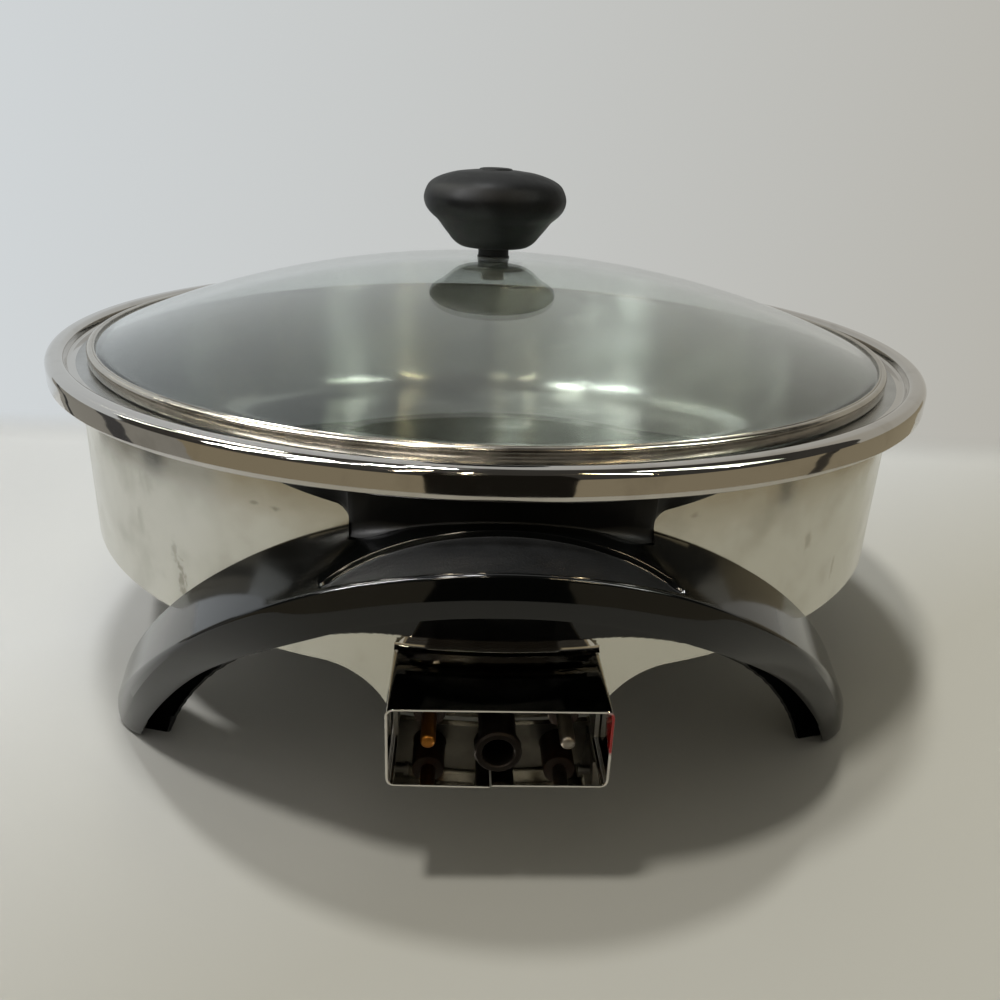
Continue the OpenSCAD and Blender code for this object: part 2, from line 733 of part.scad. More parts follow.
module turned() { rotate([0, 0, 180]) children(); }
module front_handle() { color("black") arch_handle(); }
module rear_handle() { color("black") turned() arch_handle(); }
module front_bracket() { color("silver") handle_bracket(); }
module rear_bracket() { color("silver") turned() handle_bracket(); }
module front_handle_screws() { color("gray") handle_screws(); }
module rear_handle_screws() { color("gray") turned() handle_screws(); }

// ---------------------------------------------------------------- lid

module lid_glass() {
    color("lightcyan", 0.4) difference() {
        rotate_extrude($fn = 240) {
            intersection() {
                translate([0, crown_z - dome_r]) difference() {
                    circle(dome_r, $fn = 1440);
                    circle(dome_r - glass_t, $fn = 1440);
                }
                translate([0, glass_edge_z]) square([lap_r, crown_z]);
            }
            translate([lap_r - rim_lap, glass_edge_z])
                square([glass_r - lap_r + rim_lap, glass_edge_top - glass_edge_z]);
        }
        translate([0, 0, crown_z - 2 * glass_t])
            cylinder(r = glass_hole_r, h = 3 * glass_t, $fn = 48);
    }
}

module lid_band() {
    top = band_z + band_h;
    edge_r = lid_r - band_corner;
    color("silver") rotate_extrude($fn = 240) polygon(concat(
        [[lap_r, band_z]],
        arc(edge_r, band_z + band_corner, band_corner, -90, 0, 3),
        arc(edge_r, top - band_corner, band_corner, 0, 90, 3),
        [[lap_r, top], [lap_r, top - band_t], [lid_r - band_t, top - band_t],
         [lid_r - band_t, band_z + band_t], [lap_r, band_z + band_t]]));
}

// Knob outline as shares of its radius and height.
knob_outline = [[0.43, 0], [0.54, 0.049], [0.627, 0.118], [0.71, 0.23], [0.80, 0.341],
    [0.914, 0.439], [0.98, 0.53], [1, 0.634], [0.97, 0.739], [0.905, 0.829], [0.77, 0.902],
    [0.56, 0.962], [0.30, 0.993]];

module knob() {
    color([0.08, 0.08, 0.08]) difference() {
        union() {
            rotate_extrude($fn = 120) polygon(concat([[0, knob_z]],
                [for (p = knob_outline) [p[0] * knob_r, knob_z + p[1] * knob_h]],
                [[0, knob_z + knob_h]]));
            translate([0, 0, neck_z]) cylinder(d = neck_d, h = 1.2 * neck_h, $fn = 48);
        }
        translate([0, 0, neck_z - 1]) cylinder(r = insert_r + slip, h = insert_h + 1 + slip, $fn = 48);
        translate([0, 0, knob_z + knob_h - cap_seat]) cylinder(r = cap_r + slip, h = cap_t, $fn = 48);
    }
}

module knob_cap() {
    color([0.1, 0.1, 0.1]) translate([0, 0, knob_z + knob_h - cap_seat + slip])
        cylinder(r = cap_r, h = cap_t, $fn = 48);
}

module knob_insert() {
    color("goldenrod") translate([0, 0, neck_z]) difference() {
        cylinder(r = insert_r, h = insert_h, $fn = 48);
        translate([0, 0, -1]) cylinder(r = knob_screw_r + slip, h = insert_h, $fn = 32);
    }
}

module knob_gasket() {
    color("dimgray") translate([0, 0, crown_z]) difference() {
        cylinder(r = gasket_r, h = gasket_t, $fn = 48);
        translate([0, 0, -1]) cylinder(r = knob_screw_r + slip, h = gasket_t + 2, $fn = 32);
    }
}

module glass_seal() {
    color("dimgray") translate([0, 0, seal_z]) difference() {
        cylinder(r = seal_r, h = seal_t, $fn = 64);
        translate([0, 0, -1]) cylinder(r = knob_screw_r + slip, h = seal_t + 2, $fn = 32);
    }
}

module glass_washer() {
    color("silver") translate([0, 0, washer_z]) difference() {
        cylinder(r = washer_r, h = washer_t, $fn = 64);
        translate([0, 0, -1]) cylinder(r = knob_screw_r + slip, h = washer_t + 2, $fn = 32);
    }
}

module knob_screw() {
    slot_w = 1.2;
    slot_d = knob_head_h / 3;
    tip_z = neck_z + 0.8 * insert_h;
    color("silver") translate([0, 0, washer_z]) {
        difference() {
            translate([0, 0, -knob_head_h]) cylinder(r = knob_head_r, h = knob_head_h, $fn = 48);
            translate([-knob_head_r - 1, -slot_w / 2, -knob_head_h - 1])
                cube([2 * knob_head_r + 2, slot_w, slot_d + 1]);
        }
        translate([0, 0, -knob_head_h / 4])
            cylinder(r = knob_screw_r, h = knob_head_h / 4 + tip_z - washer_z, $fn = 32);
    }
}

pan();
outer_shell();
base_cover();
base_screws();
heat_spreader();
heating_element();
element_clips();
left_terminal_pin();
right_terminal_pin();
terminal_insulators();
probe_tube();
probe_clips();
terminal_bracket();
terminal_guard();
guard_rivets();
front_handle();
rear_handle();
front_bracket();
rear_bracket();
front_handle_screws();
rear_handle_screws();
lid_glass();
lid_band();
knob();
knob_cap();
knob_insert();
knob_gasket();
glass_seal();
glass_washer();
knob_screw();
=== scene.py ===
import math
from functools import partial

import bmesh
import bpy
from mathutils import Matrix, Vector


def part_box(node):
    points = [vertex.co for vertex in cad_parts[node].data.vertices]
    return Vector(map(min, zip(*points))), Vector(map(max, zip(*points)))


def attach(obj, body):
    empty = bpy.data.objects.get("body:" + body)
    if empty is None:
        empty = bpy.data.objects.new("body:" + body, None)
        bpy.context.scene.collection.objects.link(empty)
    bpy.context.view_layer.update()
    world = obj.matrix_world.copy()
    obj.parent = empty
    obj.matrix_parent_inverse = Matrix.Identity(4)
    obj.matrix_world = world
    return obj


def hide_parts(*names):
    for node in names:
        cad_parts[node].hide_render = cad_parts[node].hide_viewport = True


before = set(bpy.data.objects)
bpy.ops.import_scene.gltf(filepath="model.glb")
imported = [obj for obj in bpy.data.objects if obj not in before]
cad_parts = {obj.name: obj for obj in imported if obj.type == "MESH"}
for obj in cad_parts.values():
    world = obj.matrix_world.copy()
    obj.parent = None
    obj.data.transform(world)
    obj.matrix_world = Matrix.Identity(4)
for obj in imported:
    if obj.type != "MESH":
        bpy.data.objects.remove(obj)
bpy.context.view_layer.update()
mm = 0.001
scene = bpy.context.scene
print("frame loaded,", len(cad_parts), "nodes")


# small tools: nodes, outlines, meshes

def liveOutput(node):
    return next(socket for socket in node.outputs if socket.enabled)


def addNode(tree, kind, inputs=(), to=None, **settings):
    # a kind without Node is a shader's, with its operation after a point; inputs go by name or in order, and a
    # node among them stands for its live output
    kind, _, operation = kind.partition(".")
    node = tree.nodes.new(kind if "Node" in kind else "ShaderNode" + kind)
    if operation:
        node.operation = operation
    for key, value in settings.items():
        setattr(node, key, value)
    for key, value in inputs.items() if isinstance(inputs, dict) else enumerate(inputs):
        if isinstance(value, bpy.types.Node):
            value = liveOutput(value)
        if isinstance(value, bpy.types.NodeSocket):
            tree.links.new(value, node.inputs[key])
        else:
            node.inputs[key].default_value = value
    if to:
        tree.links.new(liveOutput(node), to)
    return node


def linear(hexColour):
    parts = [int(hexColour[i:i + 2], 16) / 255 for i in (0, 2, 4)]
    return [c / 12.92 if c <= 0.04045 else ((c + 0.055) / 1.055) ** 2.4 for c in parts] + [1]


def ease(x):
    x = min(max(x, 0), 1)
    return x * x * (3 - 2 * x)


def arc(x, z, r, start, end, steps):
    turns = [math.radians(start + (end - start) * i / steps) for i in range(steps + 1)]
    return [(x + r * math.cos(a), z + r * math.sin(a)) for a in turns]


def gather(*parts):
    points, faces, slots = [], [], []
    for part in parts:
        shift = len(points)
        points += part[0]
        faces += [[i + shift for i in face] for face in part[1]]
        slots += part[2] if len(part) > 2 else [0] * len(part[1])
    return points, faces, slots


def loft(loops, slotOf=lambda s, i: 0):
    # joins closed loops of equal length into a tube with its ends closed
    count = len(loops[0])
    points = [p for loop in loops for p in loop]
    faces, slots = [], []
    for s in range(len(loops) - 1):
        for i in range(count):
            j = (i + 1) % count
            faces.append([s * count + i, s * count + j, (s + 1) * count + j, (s + 1) * count + i])
            slots.append(slotOf(s, i))
    faces.append(list(range(count))[::-1])
    faces.append([(len(loops) - 1) * count + i for i in range(count)])
    return points, faces, slots + [0, 0]


def tidyMesh(mesh, smoothAngle):
    work = bmesh.new()
    work.from_mesh(mesh)
    bmesh.ops.remove_doubles(work, verts=work.verts, dist=2e-6)
    bmesh.ops.dissolve_degenerate(work, dist=1e-7, edges=work.edges)
    bmesh.ops.recalc_face_normals(work, faces=work.faces)
    work.to_mesh(mesh)
    work.free()
    mesh.shade_smooth()
    mesh.set_sharp_from_angle(angle=math.radians(smoothAngle))


def addObject(name, data):
    item = bpy.data.objects.new(name, data)
    scene.collection.objects.link(item)
    return item


def settle(piece, slotName, body, *nodes):
    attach(piece, body)
    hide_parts(*nodes)


def makePiece(name, parts, materials, slotName, body, *nodes, smoothAngle=35):
    mesh = bpy.data.meshes.new(name)
    mesh.from_pydata([Vector(p) * mm for p in parts[0]], [], parts[1])
    for material in materials:
        mesh.materials.append(material)
    for face, slot in zip(mesh.polygons, parts[2]):
        face.material_index = slot
    tidyMesh(mesh, smoothAngle)
    settle(addObject(name, mesh), slotName, body, *nodes)


# finishes: each look's sizes and depths are in mm

def newMaterial(name, look, metallic=0):
    material = bpy.data.materials.new(name)
    material.use_nodes = True
    tree = material.node_tree
    shader = tree.nodes["Principled BSDF"]
    shader.inputs["Base Color"].default_value = linear(look["colour"])
    shader.inputs["Metallic"].default_value = metallic
    if "ior" in look:
        shader.inputs["IOR"].default_value = look["ior"]
    add = partial(addNode, tree)
    place = add("TexCoord").outputs["Object"]
    # the roughness wanders either way over patches of a real size
    noise = add("TexNoise", {"Vector": place, "Scale": 1 / (look["patch"] * mm), "Detail": 4})
    least, most = look["roughness"] - look["wander"], look["roughness"] + look["wander"]
    add("MapRange", (noise, 0.35, 0.65, least, most), shader.inputs["Roughness"])
    return material, add, shader, place


def spunSteel(name, look):
    # stainless sheet spun on a lathe: fine rings run round it and draw each light out into a line across them
    material, add, shader, place = newMaterial(name, look, 1)
    shader.inputs["Anisotropic"].default_value = look["stretch"]
    shader.inputs["Anisotropic Rotation"].default_value = 0.25
    x, y, z = add("SeparateXYZ", (place,)).outputs
    minusY = add("Math.MULTIPLY", (y, -1))
    around = add("CombineXYZ", (minusY, x, 0))
    add("VectorMath.NORMALIZE", (around,), shader.inputs["Tangent"])
    flat = add("VectorMath.MULTIPLY", (place, (1, 1, 0)))
    radius = add("VectorMath.LENGTH", (flat,))
    turn = add("Math.ARCTAN2", (y, x))
    slow = add("Math.MULTIPLY", (turn, 0.004))  # a ring hardly changes along its run
    rings = add("CombineXYZ", (radius, slow, z))
    lines = add("TexNoise", {"Vector": rings, "Scale": 1 / (look["ring"] * mm), "Detail": 3})
    add("Bump", {"Height": lines, "Distance": look["ringDepth"] * mm}, shader.inputs["Normal"])
    # dried tide marks and smudges: a darker, warmer film with soft edges, and a fine speckle
    cloud = add("TexNoise", {"Vector": place, "Scale": 1 / (look["cloud"] * mm), "Detail": 2})
    film = add("MapRange", (cloud, 0.42, 0.72, 0, look["stain"]), interpolation_type="SMOOTHSTEP")
    grit = add("TexNoise", {"Vector": place, "Scale": 1 / (look["speck"] * mm), "Detail": 1})
    specks = add("MapRange", (grit, 0.55, 0.8, 0, 0.3))
    marked = add("Math.MAXIMUM", (film, specks))
    # the flat bottom is coloured darker than the wall, unevenly
    low = add("MapRange", (z, look["darkerBelowZ"][0] * mm, look["darkerBelowZ"][1] * mm, 1, 0))
    uneven = add("MapRange", (cloud, 0.35, 0.65, look["haze"] * 0.6, look["haze"]))
    haze = add("Math.MULTIPLY", (low, uneven))
    mask = add("Math.MAXIMUM", (marked, haze))
    add("Mix", {"Factor": mask, "A": linear(look["colour"]), "B": linear(look["stained"])},
            shader.inputs["Base Color"], data_type="RGBA")
    return material


def buffedSteel(name, look):
    # buffed stainless sheet: bright and slightly hazy, with finger marks, dried water spots and a few rubs
    material, add, shader, place = newMaterial(name, look, 1)
    wave = add("TexNoise", {"Vector": place, "Scale": 1 / (look["wave"] * mm), "Detail": 1})
    add("Bump", {"Height": wave, "Distance": look["waveDepth"] * mm}, shader.inputs["Normal"])
    cloud = add("TexNoise", {"Vector": place, "Scale": 1 / (look["cloud"] * mm), "Detail": 5})
    mask = add("MapRange", (cloud, 0.5, 0.75, 0, look["haze"]), interpolation_type="SMOOTHSTEP")
    tear = 2.2  # grain of a mark's ragged edge
    ragged = add("TexNoise", {"Vector": place, "Scale": 1 / (tear * mm), "Detail": 5, "Roughness": 0.7})
    for centre, half, strength in look.get("marks", ()):
        away = add("VectorMath.SUBTRACT", (place, Vector(centre) * mm))
        size = add("VectorMath.DIVIDE", (away, Vector(half) * mm))
        reach = add("VectorMath.LENGTH", (size,))
        torn = add("Math.MULTIPLY_ADD", (ragged, 2.4, reach))
        shade = add("MapRange", (torn, 1.3, 2.1, strength, 0), interpolation_type="SMOOTHSTEP")
        mask = add("Math.MAXIMUM", (mask, shade))
    add("Mix", {"Factor": mask, "A": linear(look["colour"]), "B": linear(look["stained"])},
            shader.inputs["Base Color"], data_type="RGBA")
    return material


def plainMetal(name, look):
    material, add, shader, place = newMaterial(name, look, 1)
    grain, depth, worn = 0.6, 0.01, look["patch"] * 1.7
    fine = add("TexNoise", {"Vector": place, "Scale": 1 / (grain * mm), "Detail": 3})
    add("Bump", {"Height": fine, "Distance": depth * mm}, shader.inputs["Normal"])
    wear = add("TexNoise", {"Vector": place, "Scale": 1 / (worn * mm), "Detail": 5})
    mask = add("MapRange", (wear, 0.45, 0.7, 0, 0.35))
    colour = linear(look["colour"])
    darker = [c * 0.55 for c in colour[:3]] + [1]
    add("Mix", {"Factor": mask, "A": colour, "B": darker}, shader.inputs["Base Color"], data_type="RGBA")
    return material


def mouldedPlastic(name, look):
    material, add, shader, place = newMaterial(name, look)
    grain = add("TexNoise", {"Vector": place, "Scale": 1 / (look["grain"] * mm), "Detail": 2})
    add("Bump", {"Height": grain, "Distance": look["grainDepth"] * mm}, shader.inputs["Normal"])
    dusty = add("MapRange", (grain, 0.5, 0.8, 0, look["dust"]))
    add("Mix", {"Factor": dusty, "A": linear(look["colour"]), "B": linear(look.get("pale", "3A3B3C"))},
            shader.inputs["Base Color"], data_type="RGBA")
    return material


def clearGlass(name, look):
    # tempered soda-lime glass: clear, with a faint grey-green body; daylight passes through to what lies under it
    material, add, shader = newMaterial(name, look)[:3]
    shader.inputs["Transmission Weight"].default_value = 1
    passing = add("BsdfTransparent", {"Color": linear(look["passing"])})
    path = add("LightPath")
    add("MixShader", (path.outputs["Is Shadow Ray"], shader, passing),
            material.node_tree.nodes["Material Output"].inputs["Surface"])
    return material


finishes = {
    # 304 stainless, spun: inside of the pan
    "panSteel": spunSteel("spunStainless", {"colour": "ABABA8", "roughness": 0.2, "stretch": 1, "ring": 0.8,
        "ringDepth": 0.02, "patch": 30, "wander": 0.03, "cloud": 22, "speck": 1.1, "stain": 0.3,
        "stained": "66645D", "haze": 0.75, "darkerBelowZ": (52, 60)}),
    # the same sheet, polished on the rim: it mirrors the room with a slight wave
    "rimSteel": buffedSteel("polishedStainlessRim", {"colour": "C6C2BC", "roughness": 0.055, "patch": 9,
        "wander": 0.02, "wave": 22, "waveDepth": 0.02, "cloud": 14, "haze": 0.25, "stained": "8E887E"}),
    # buffed stainless sheet of the outer wall: soft reflections under stains and rubs
    "shellSteel": buffedSteel("buffedStainless", {"colour": "D0CEC4", "roughness": 0.19, "patch": 14,
        "wander": 0.05, "wave": 40, "waveDepth": 0.1, "cloud": 24, "haze": 0.3, "stained": "77715F", "marks": (
            ((-93.8, -123.4, 60), (3.2, 3.2, 11), 0.6), ((-95.8, -122, 69), (2.4, 2.4, 6), 0.4),
            ((-67.1, -139.7, 93), (2.2, 2.2, 1), 0.4), ((-60.7, -142.6, 92.4), (2.6, 2.6, 1.1), 0.45),
            ((-109.2, -110, 73.7), (4, 4, 7), 0.25), ((-104.5, -114.5, 88), (7, 7, 5), 0.2),
            ((94.4, -122.9, 77.5), (2.4, 2.4, 5), 0.4), ((109.6, -109.6, 62), (1.6, 1.6, 6), 0.4),
            ((52.3, -145.9, 94.5), (2.4, 2.4, 1.5), 0.35))}),
    # bright annealed stainless strip, left as rolled: mirror with a slight wave
    "guardSteel": buffedSteel("brightAnnealedStainless", {"colour": "D2CEC8", "roughness": 0.05, "patch": 8,
        "wander": 0.015, "wave": 16, "waveDepth": 0.05, "cloud": 9, "haze": 0.3, "stained": "7F7468"}),
}

for key, name, *look in (
        # rolled stainless strip round the glass: bright, with its edges a little soft
        ("bandSteel", "rolledStainless", "B5AFA4", 0.16, 5, 0.04),
        # drawn sheet of the bottom cover, dull from the heat
        ("coverSteel", "drawnSteelSheet", "A8A59E", 0.38, 30, 0.06),
        # zinc plated fixings: dull grey with a faint bloom
        ("zincSteel", "zincPlatedSteel", "8E8E8B", 0.42, 4, 0.08),
        # stamped stainless of the washer and the screw under the knob: satin
        ("washerSteel", "stampedStainless", "A5A29B", 0.25, 6, 0.05),
        # rolled aluminium plate under the pan: pale and matt
        ("spreader", "rolledAluminium", "B9BABC", 0.45, 20, 0.05),
        # oxidised sheath of the heating loop: brown-black and dull
        ("sheath", "oxidisedSheath", "4A4038", 0.5, 10, 0.08),
        # power pins: one has worn to its brass, the other keeps its nickel; both are coloured darker than bright
        # metal
        ("brassPin", "wornBrass", "8A5A26", 0.4, 2, 0.06),
        ("nickelPin", "nickelPlate", "857F76", 0.38, 2, 0.06),
        # turned brass of the knob's insert: warm, with a soft shine
        ("insertBrass", "turnedBrass", "C2A05A", 0.3, 4, 0.05),
        # steel of the probe tube, coloured nearly black and dull
        ("tubeSteel", "smokedSteel", "1E1A17", 0.5, 6, 0.08)):
    finishes[key] = plainMetal(name, dict(zip(("colour", "roughness", "patch", "wander"), look)))

for key, name, *look in (
        # glazed brown porcelain bushings: dark, with a soft shine
        ("bushing", "brownPorcelain", "2A1811", 0.4, 1.5, 5, 0.06, 1.2, 0.02, 0.1),
        # phenolic moulding with a polished face: deep black and glassy, faintly wavy
        ("handleGloss", "polishedPhenolic", "050606", 0.075, 1.47, 12, 0.015, 14, 0.03, 0.05),
        # the same moulding with an etched, sand-like grain
        ("handleGrain", "etchedPhenolic", "050607", 0.5, 1.3, 6, 0.05, 0.6, 0.09, 0.6, "1C1D1E"),
        # the same moulding behind the grip as a shaded copy: darker and less reflective, painted shade for the recess
        # under the rim
        ("handleRecess", "asMouldedPhenolic", "030303", 0.45, 1.3, 9, 0.05, 0.9, 0.02, 0.03),
        # the knob's phenolic, satin from its mould: a wide, dim sheen
        ("knobPlastic", "satinPhenolic", "040506", 0.5, 1.25, 8, 0.06, 0.9, 0.02, 0.1),
        # moulded silicone rubber washers: near black and matt
        ("rubber", "siliconeRubber", "1B1B1B", 0.7, 1.45, 3, 0.05, 0.6, 0.02, 0.1)):
    finishes[key] = mouldedPlastic(name, dict(zip(
        ("colour", "roughness", "ior", "patch", "wander", "grain", "grainDepth", "dust", "pale"), look)))

finishes["glass"] = clearGlass("temperedGlass", {"colour": "F3F8F5", "roughness": 0, "wander": 0, "patch": 20,
    "ior": 1.5, "passing": "EEF4F0"})
print("finishes made,", len(finishes))


# Geometry Nodes: an outline turned round the axis, and copies set round it

def newGeometryTree(name, **inputs):
    tree = bpy.data.node_groups.new(name, "GeometryNodeTree")
    tree.interface.new_socket("Geometry", in_out="INPUT", socket_type="NodeSocketGeometry")
    tree.interface.new_socket("Geometry", in_out="OUTPUT", socket_type="NodeSocketGeometry")
    for label, kind in inputs.items():
        tree.interface.new_socket(label, in_out="INPUT", socket_type="NodeSocket" + kind)
    add = partial(addNode, tree)
    return tree, add, add("NodeGroupInput").outputs


def endTree(add, geometry, material):
    real = add("GeometryNodeRealizeInstances", {"Geometry": geometry})
    coated = add("GeometryNodeSetMaterial", {"Geometry": real, "Material": material})
    add("NodeGroupOutput", {"Geometry": coated})


def turnedOutlineTree():
    tree, add, given = newGeometryTree("turnedOutline", Segments="Int", Material="Material")
    size = add("GeometryNodeAttributeDomainSize", {"Geometry": given["Geometry"]})
    columns = add("Math.ADD", (given["Segments"], 1))
    grid = add("GeometryNodeMeshGrid", {"Vertices X": size.outputs["Point Count"], "Vertices Y": columns})
    index = add("GeometryNodeInputIndex")
    share = add("Math.DIVIDE", (index, columns))
    row = add("Math.FLOOR", (share,))
    column = add("Math.MODULO", (index, columns))
    part = add("Math.DIVIDE", (column, given["Segments"]))
    turn = add("Math.MULTIPLY", (part, math.tau))
    outline = add("GeometryNodeSampleIndex", {"Geometry": given["Geometry"], "Index": row},
            data_type="FLOAT_VECTOR", domain="POINT")
    add("GeometryNodeInputPosition", to=outline.inputs["Value"])
    place = add("VectorRotate", {"Vector": outline, "Angle": turn}, rotation_type="Z_AXIS")
    turned = add("GeometryNodeSetPosition", {"Geometry": grid, "Position": place})
    joined = add("GeometryNodeMergeByDistance", {"Geometry": turned, "Distance": 2e-6})
    endTree(add, joined, given["Material"])
    return tree


def copiesRoundAxisTree():
    tree, add, given = newGeometryTree("copiesRoundAxis", Count="Int", Radius="Float", Height="Float", First="Float",
                                  Step="Float", Material="Material")
    index = add("GeometryNodeInputIndex")
    turn = add("Math.MULTIPLY_ADD", (index, given["Step"], given["First"]))
    start = add("CombineXYZ", {"X": given["Radius"], "Z": given["Height"]})
    place = add("VectorRotate", {"Vector": start, "Angle": turn}, rotation_type="Z_AXIS")
    points = add("GeometryNodePoints", {"Count": given["Count"], "Position": place})
    angles = add("CombineXYZ", {"Z": turn})
    copies = add("GeometryNodeInstanceOnPoints",
            {"Points": points, "Instance": given["Geometry"], "Rotation": angles})
    endTree(add, copies, given["Material"])
    return tree


turnedOutline = turnedOutlineTree()
copiesRoundAxis = copiesRoundAxisTree()


def meshOf(item):
    bpy.context.view_layer.update()
    return bpy.data.meshes.new_from_object(item.evaluated_get(bpy.context.evaluated_depsgraph_get()))


def runTree(name, mesh, tree, values, smoothAngle=35):
    source = addObject(name + "Source", mesh)
    modifier = source.modifiers.new("build", "NODES")
    modifier.node_group = tree
    sockets = {item.name: item.identifier for item in tree.interface.items_tree if item.in_out == "INPUT"}
    for label, value in values.items():
        modifier[sockets[label]] = value
    made = meshOf(source)
    made.name = name
    bpy.data.objects.remove(source)
    tidyMesh(made, smoothAngle)
    return made


def turned(name, outline, material, segments, smoothAngle=35, place=Matrix()):
    line = bpy.data.meshes.new(name + "Outline")
    line.from_pydata([(r * mm, 0, z * mm) for r, z in outline], [], [])
    mesh = runTree(name, line, turnedOutline, {"Segments": segments, "Material": material}, smoothAngle)
    mesh.transform(place)
    return mesh


def turnPiece(name, outline, finish, segments, slotName, body, *nodes, **settings):
    mesh = turned(name, outline, finishes[finish], segments, **settings)
    settle(addObject(name, mesh), slotName, body, *nodes)


def along(x, y, z, axis):
    # lays a turned piece along an axis, from a point in mm
    angle, about = {"-Y": (90, "X"), "X": (90, "Y"), "-X": (-90, "Y")}[axis]
    return Matrix.Translation(Vector((x, y, z)) * mm) @ Matrix.Rotation(math.radians(angle), 4, about)


# pan

pan = {"rimR": 165, "rimZ": 113, "rimRound": 2.6, "roll": 0.5, "wall": 1.4, "beadInR": 158.7, "beadRound": 2,
       "slopeR": 157.3, "slopeRound": 1.2, "ledgeR": 155.5, "ledgeZ": 109, "lipR": 152.5, "lipRound": 1.4,
       "wellR": 149, "cornerR": 10, "floorZ": 51, "underCurl": 104.8, "curl": 4.5, "segments": 288}


def panOutline(p):
    ledgeR, ledge, lip, wall = p["ledgeR"], p["ledgeZ"], p["lipRound"], p["wall"]
    well, corner, floor = p["wellR"], p["cornerR"], p["floorZ"]
    inside = [(ledgeR, ledge), (p["lipR"], ledge)] + arc(well + lip, ledge - lip, lip, 90, 180, 6)
    inside += [(well, z) for z in (100, 90, 80, 70)] + arc(well - corner, floor + corner, corner, 0, -90, 14)
    inside += [(r, floor) for r in (125, 100, 75, 50, 25, 0)]
    under = [(r, floor - wall) for r in (0, 25, 75, 125)]
    under += arc(well - corner, floor + corner, corner + wall, -90, 0, 10)
    under += [(well + wall, ledge - wall), (ledgeR, ledge - wall)]
    return inside + under + inside[:1]


def rimOutline(p):
    top, r, edge, low, roll = p["rimZ"], p["rimR"], p["rimRound"], p["underCurl"], p["roll"]
    ledgeR, ledge, slope, wall, curl = p["ledgeR"], p["ledgeZ"], p["slopeRound"], p["wall"], p["curl"]
    bead, beadR = p["beadRound"], p["beadInR"] + p["beadRound"]
    skirt = [(r - curl, low)] + arc(r - roll, low + roll, roll, -90, 0, 4) + [(r, low + 3), (r, top - 4)]
    crown = arc(r - edge, top - edge, edge, 0, 90, 8) + arc(beadR, top - bead, bead, 90, 172, 8)
    seat = arc(p["slopeR"], ledge + slope, slope, 0, -90, 5) + [(ledgeR, ledge)]
    inner = [(ledgeR, ledge - wall), (ledgeR + 1.2, ledge - wall), (beadR, top - wall), (r - edge, top - wall),
             (r - wall, top - 2.8), (r - wall, low + wall), (r - curl, low + wall)]
    return skirt + crown + seat + inner + skirt[:1]


turnPiece("panBody", panOutline(pan), "panSteel", pan["segments"], "satin_steel", "base", "pan")
turnPiece("panRim", rimOutline(pan), "rimSteel", pan["segments"], "satin_steel", "base", "pan")
print("pan made")


# outer shell: a drum whose lower edge drops into a lobe round the terminals

shell = {"r": 155, "sheet": 0.8, "z": 48, "lobeZ": 34.5, "lobeHalf": 50, "lobeR": 22, "windowHalf": 27.8,
         "windowTop": 52.2, "fineTo": 24, "flangeZ": 106.5, "flangeR": 162.9, "footR": 140.2, "footHalf": 45}


def shellParts(s):
    r, sheet, window, flange, inR = s["r"], s["sheet"], s["windowTop"], s["flangeZ"], s["r"] - s["sheet"]

    def edge(x):
        away = min(max(s["lobeHalf"] - abs(x), 0), s["lobeR"])
        return max(s["lobeZ"], s["z"] - s["lobeR"] + math.sqrt(s["lobeR"] ** 2 - away ** 2))

    # columns stand close together round the window and the lobe
    half, fine = math.degrees(math.asin(s["windowHalf"] / r)), s["fineTo"]
    turns = sorted(set([round(-half + i * half / 20, 4) for i in range(41)]
                       + [round(sign * (half + (fine - half) * i / 40), 4) for i in range(41) for sign in (-1, 1)]
                       + [fine + 2 * i for i in range(156)]))
    first, last = turns.index(round(-half, 4)), turns.index(round(half, 4))
    columns = []
    for t in turns:
        sin, cos = math.sin(math.radians(t)), math.cos(math.radians(t))
        low = edge(r * sin) if cos > 0 else s["z"]
        outside = [(r - 0.3, low), (r, low + 0.4), (r, low + 1.5), (r, window)]
        outside += [(r, z) for z in (62, 74, 86, 98)] + [(r, flange)]
        rim = [(s["flangeR"], flange), (s["flangeR"], flange + sheet), (inR, flange + sheet)]
        inside = [(inR, 98), (inR, window), (inR, low + 1.5), (inR, low)]
        columns.append([(x * sin, -x * cos, z) for x, z in outside + rim + inside])
    count = len(columns[0])
    at = lambda column, i: (column % len(columns)) * count + i % count
    faces = []
    for c in range(len(columns)):
        cut = first <= c < last
        faces += [[at(c, i), at(c + 1, i), at(c + 1, i + 1), at(c, i + 1)] for i in range(count)
                  if not cut or i not in (2, count - 3)]
        if cut:
            faces += [[at(c, i), at(c + 1, i), at(c + 1, count - i), at(c, count - i)] for i in (2, 3)]
    faces += [[at(c, 2), at(c, 3), at(c, count - 3), at(c, count - 2)] for c in (first, last)]
    sweep = math.degrees(math.asin(s["footHalf"] / r))
    loops = []
    for i in range(181):
        t = math.radians(sweep + (360 - 2 * sweep) * i / 180)
        loops.append([(x * math.sin(t), -x * math.cos(t), z) for x, z in (
            (s["footR"], s["z"]), (r - 0.5, s["z"]), (r - 0.5, s["z"] + sheet), (s["footR"], s["z"] + sheet))])
    return gather(([p for column in columns for p in column], faces), loft(loops))


makePiece("outerShell", shellParts(shell), [finishes["shellSteel"]], "polished_steel", "base", "outer_shell")
print("shell made")


# handles: a hollow arch that is also the legs, with a pad against the shell

handle = {"frontY": 184.5, "planR": 141, "planY": -43.5, "backR": 155.35,
          "arch": [(0, 94), (51, 94), (93, 57.34), (113.5, 0)],
          "back": [(28, 62.7), (50, 62.7), (86, 48.28), (106, 0)],
          "draft": 0.0016, "wall": 3.4, "backWall": 4.5, "faceTop": 10.8, "faceFoot": 10.3, "crease": 0.8,
          "creaseFoot": 3.2, "convex": 1.1, "turnIn": 0.9, "lensDepth": 1.3, "lensLip": 2.6, "lensBackY": -164,
          "lensBow": 3, "lensHalf": 45.5, "footRound": 2.6, "sole": 1.6, "stations": 84}


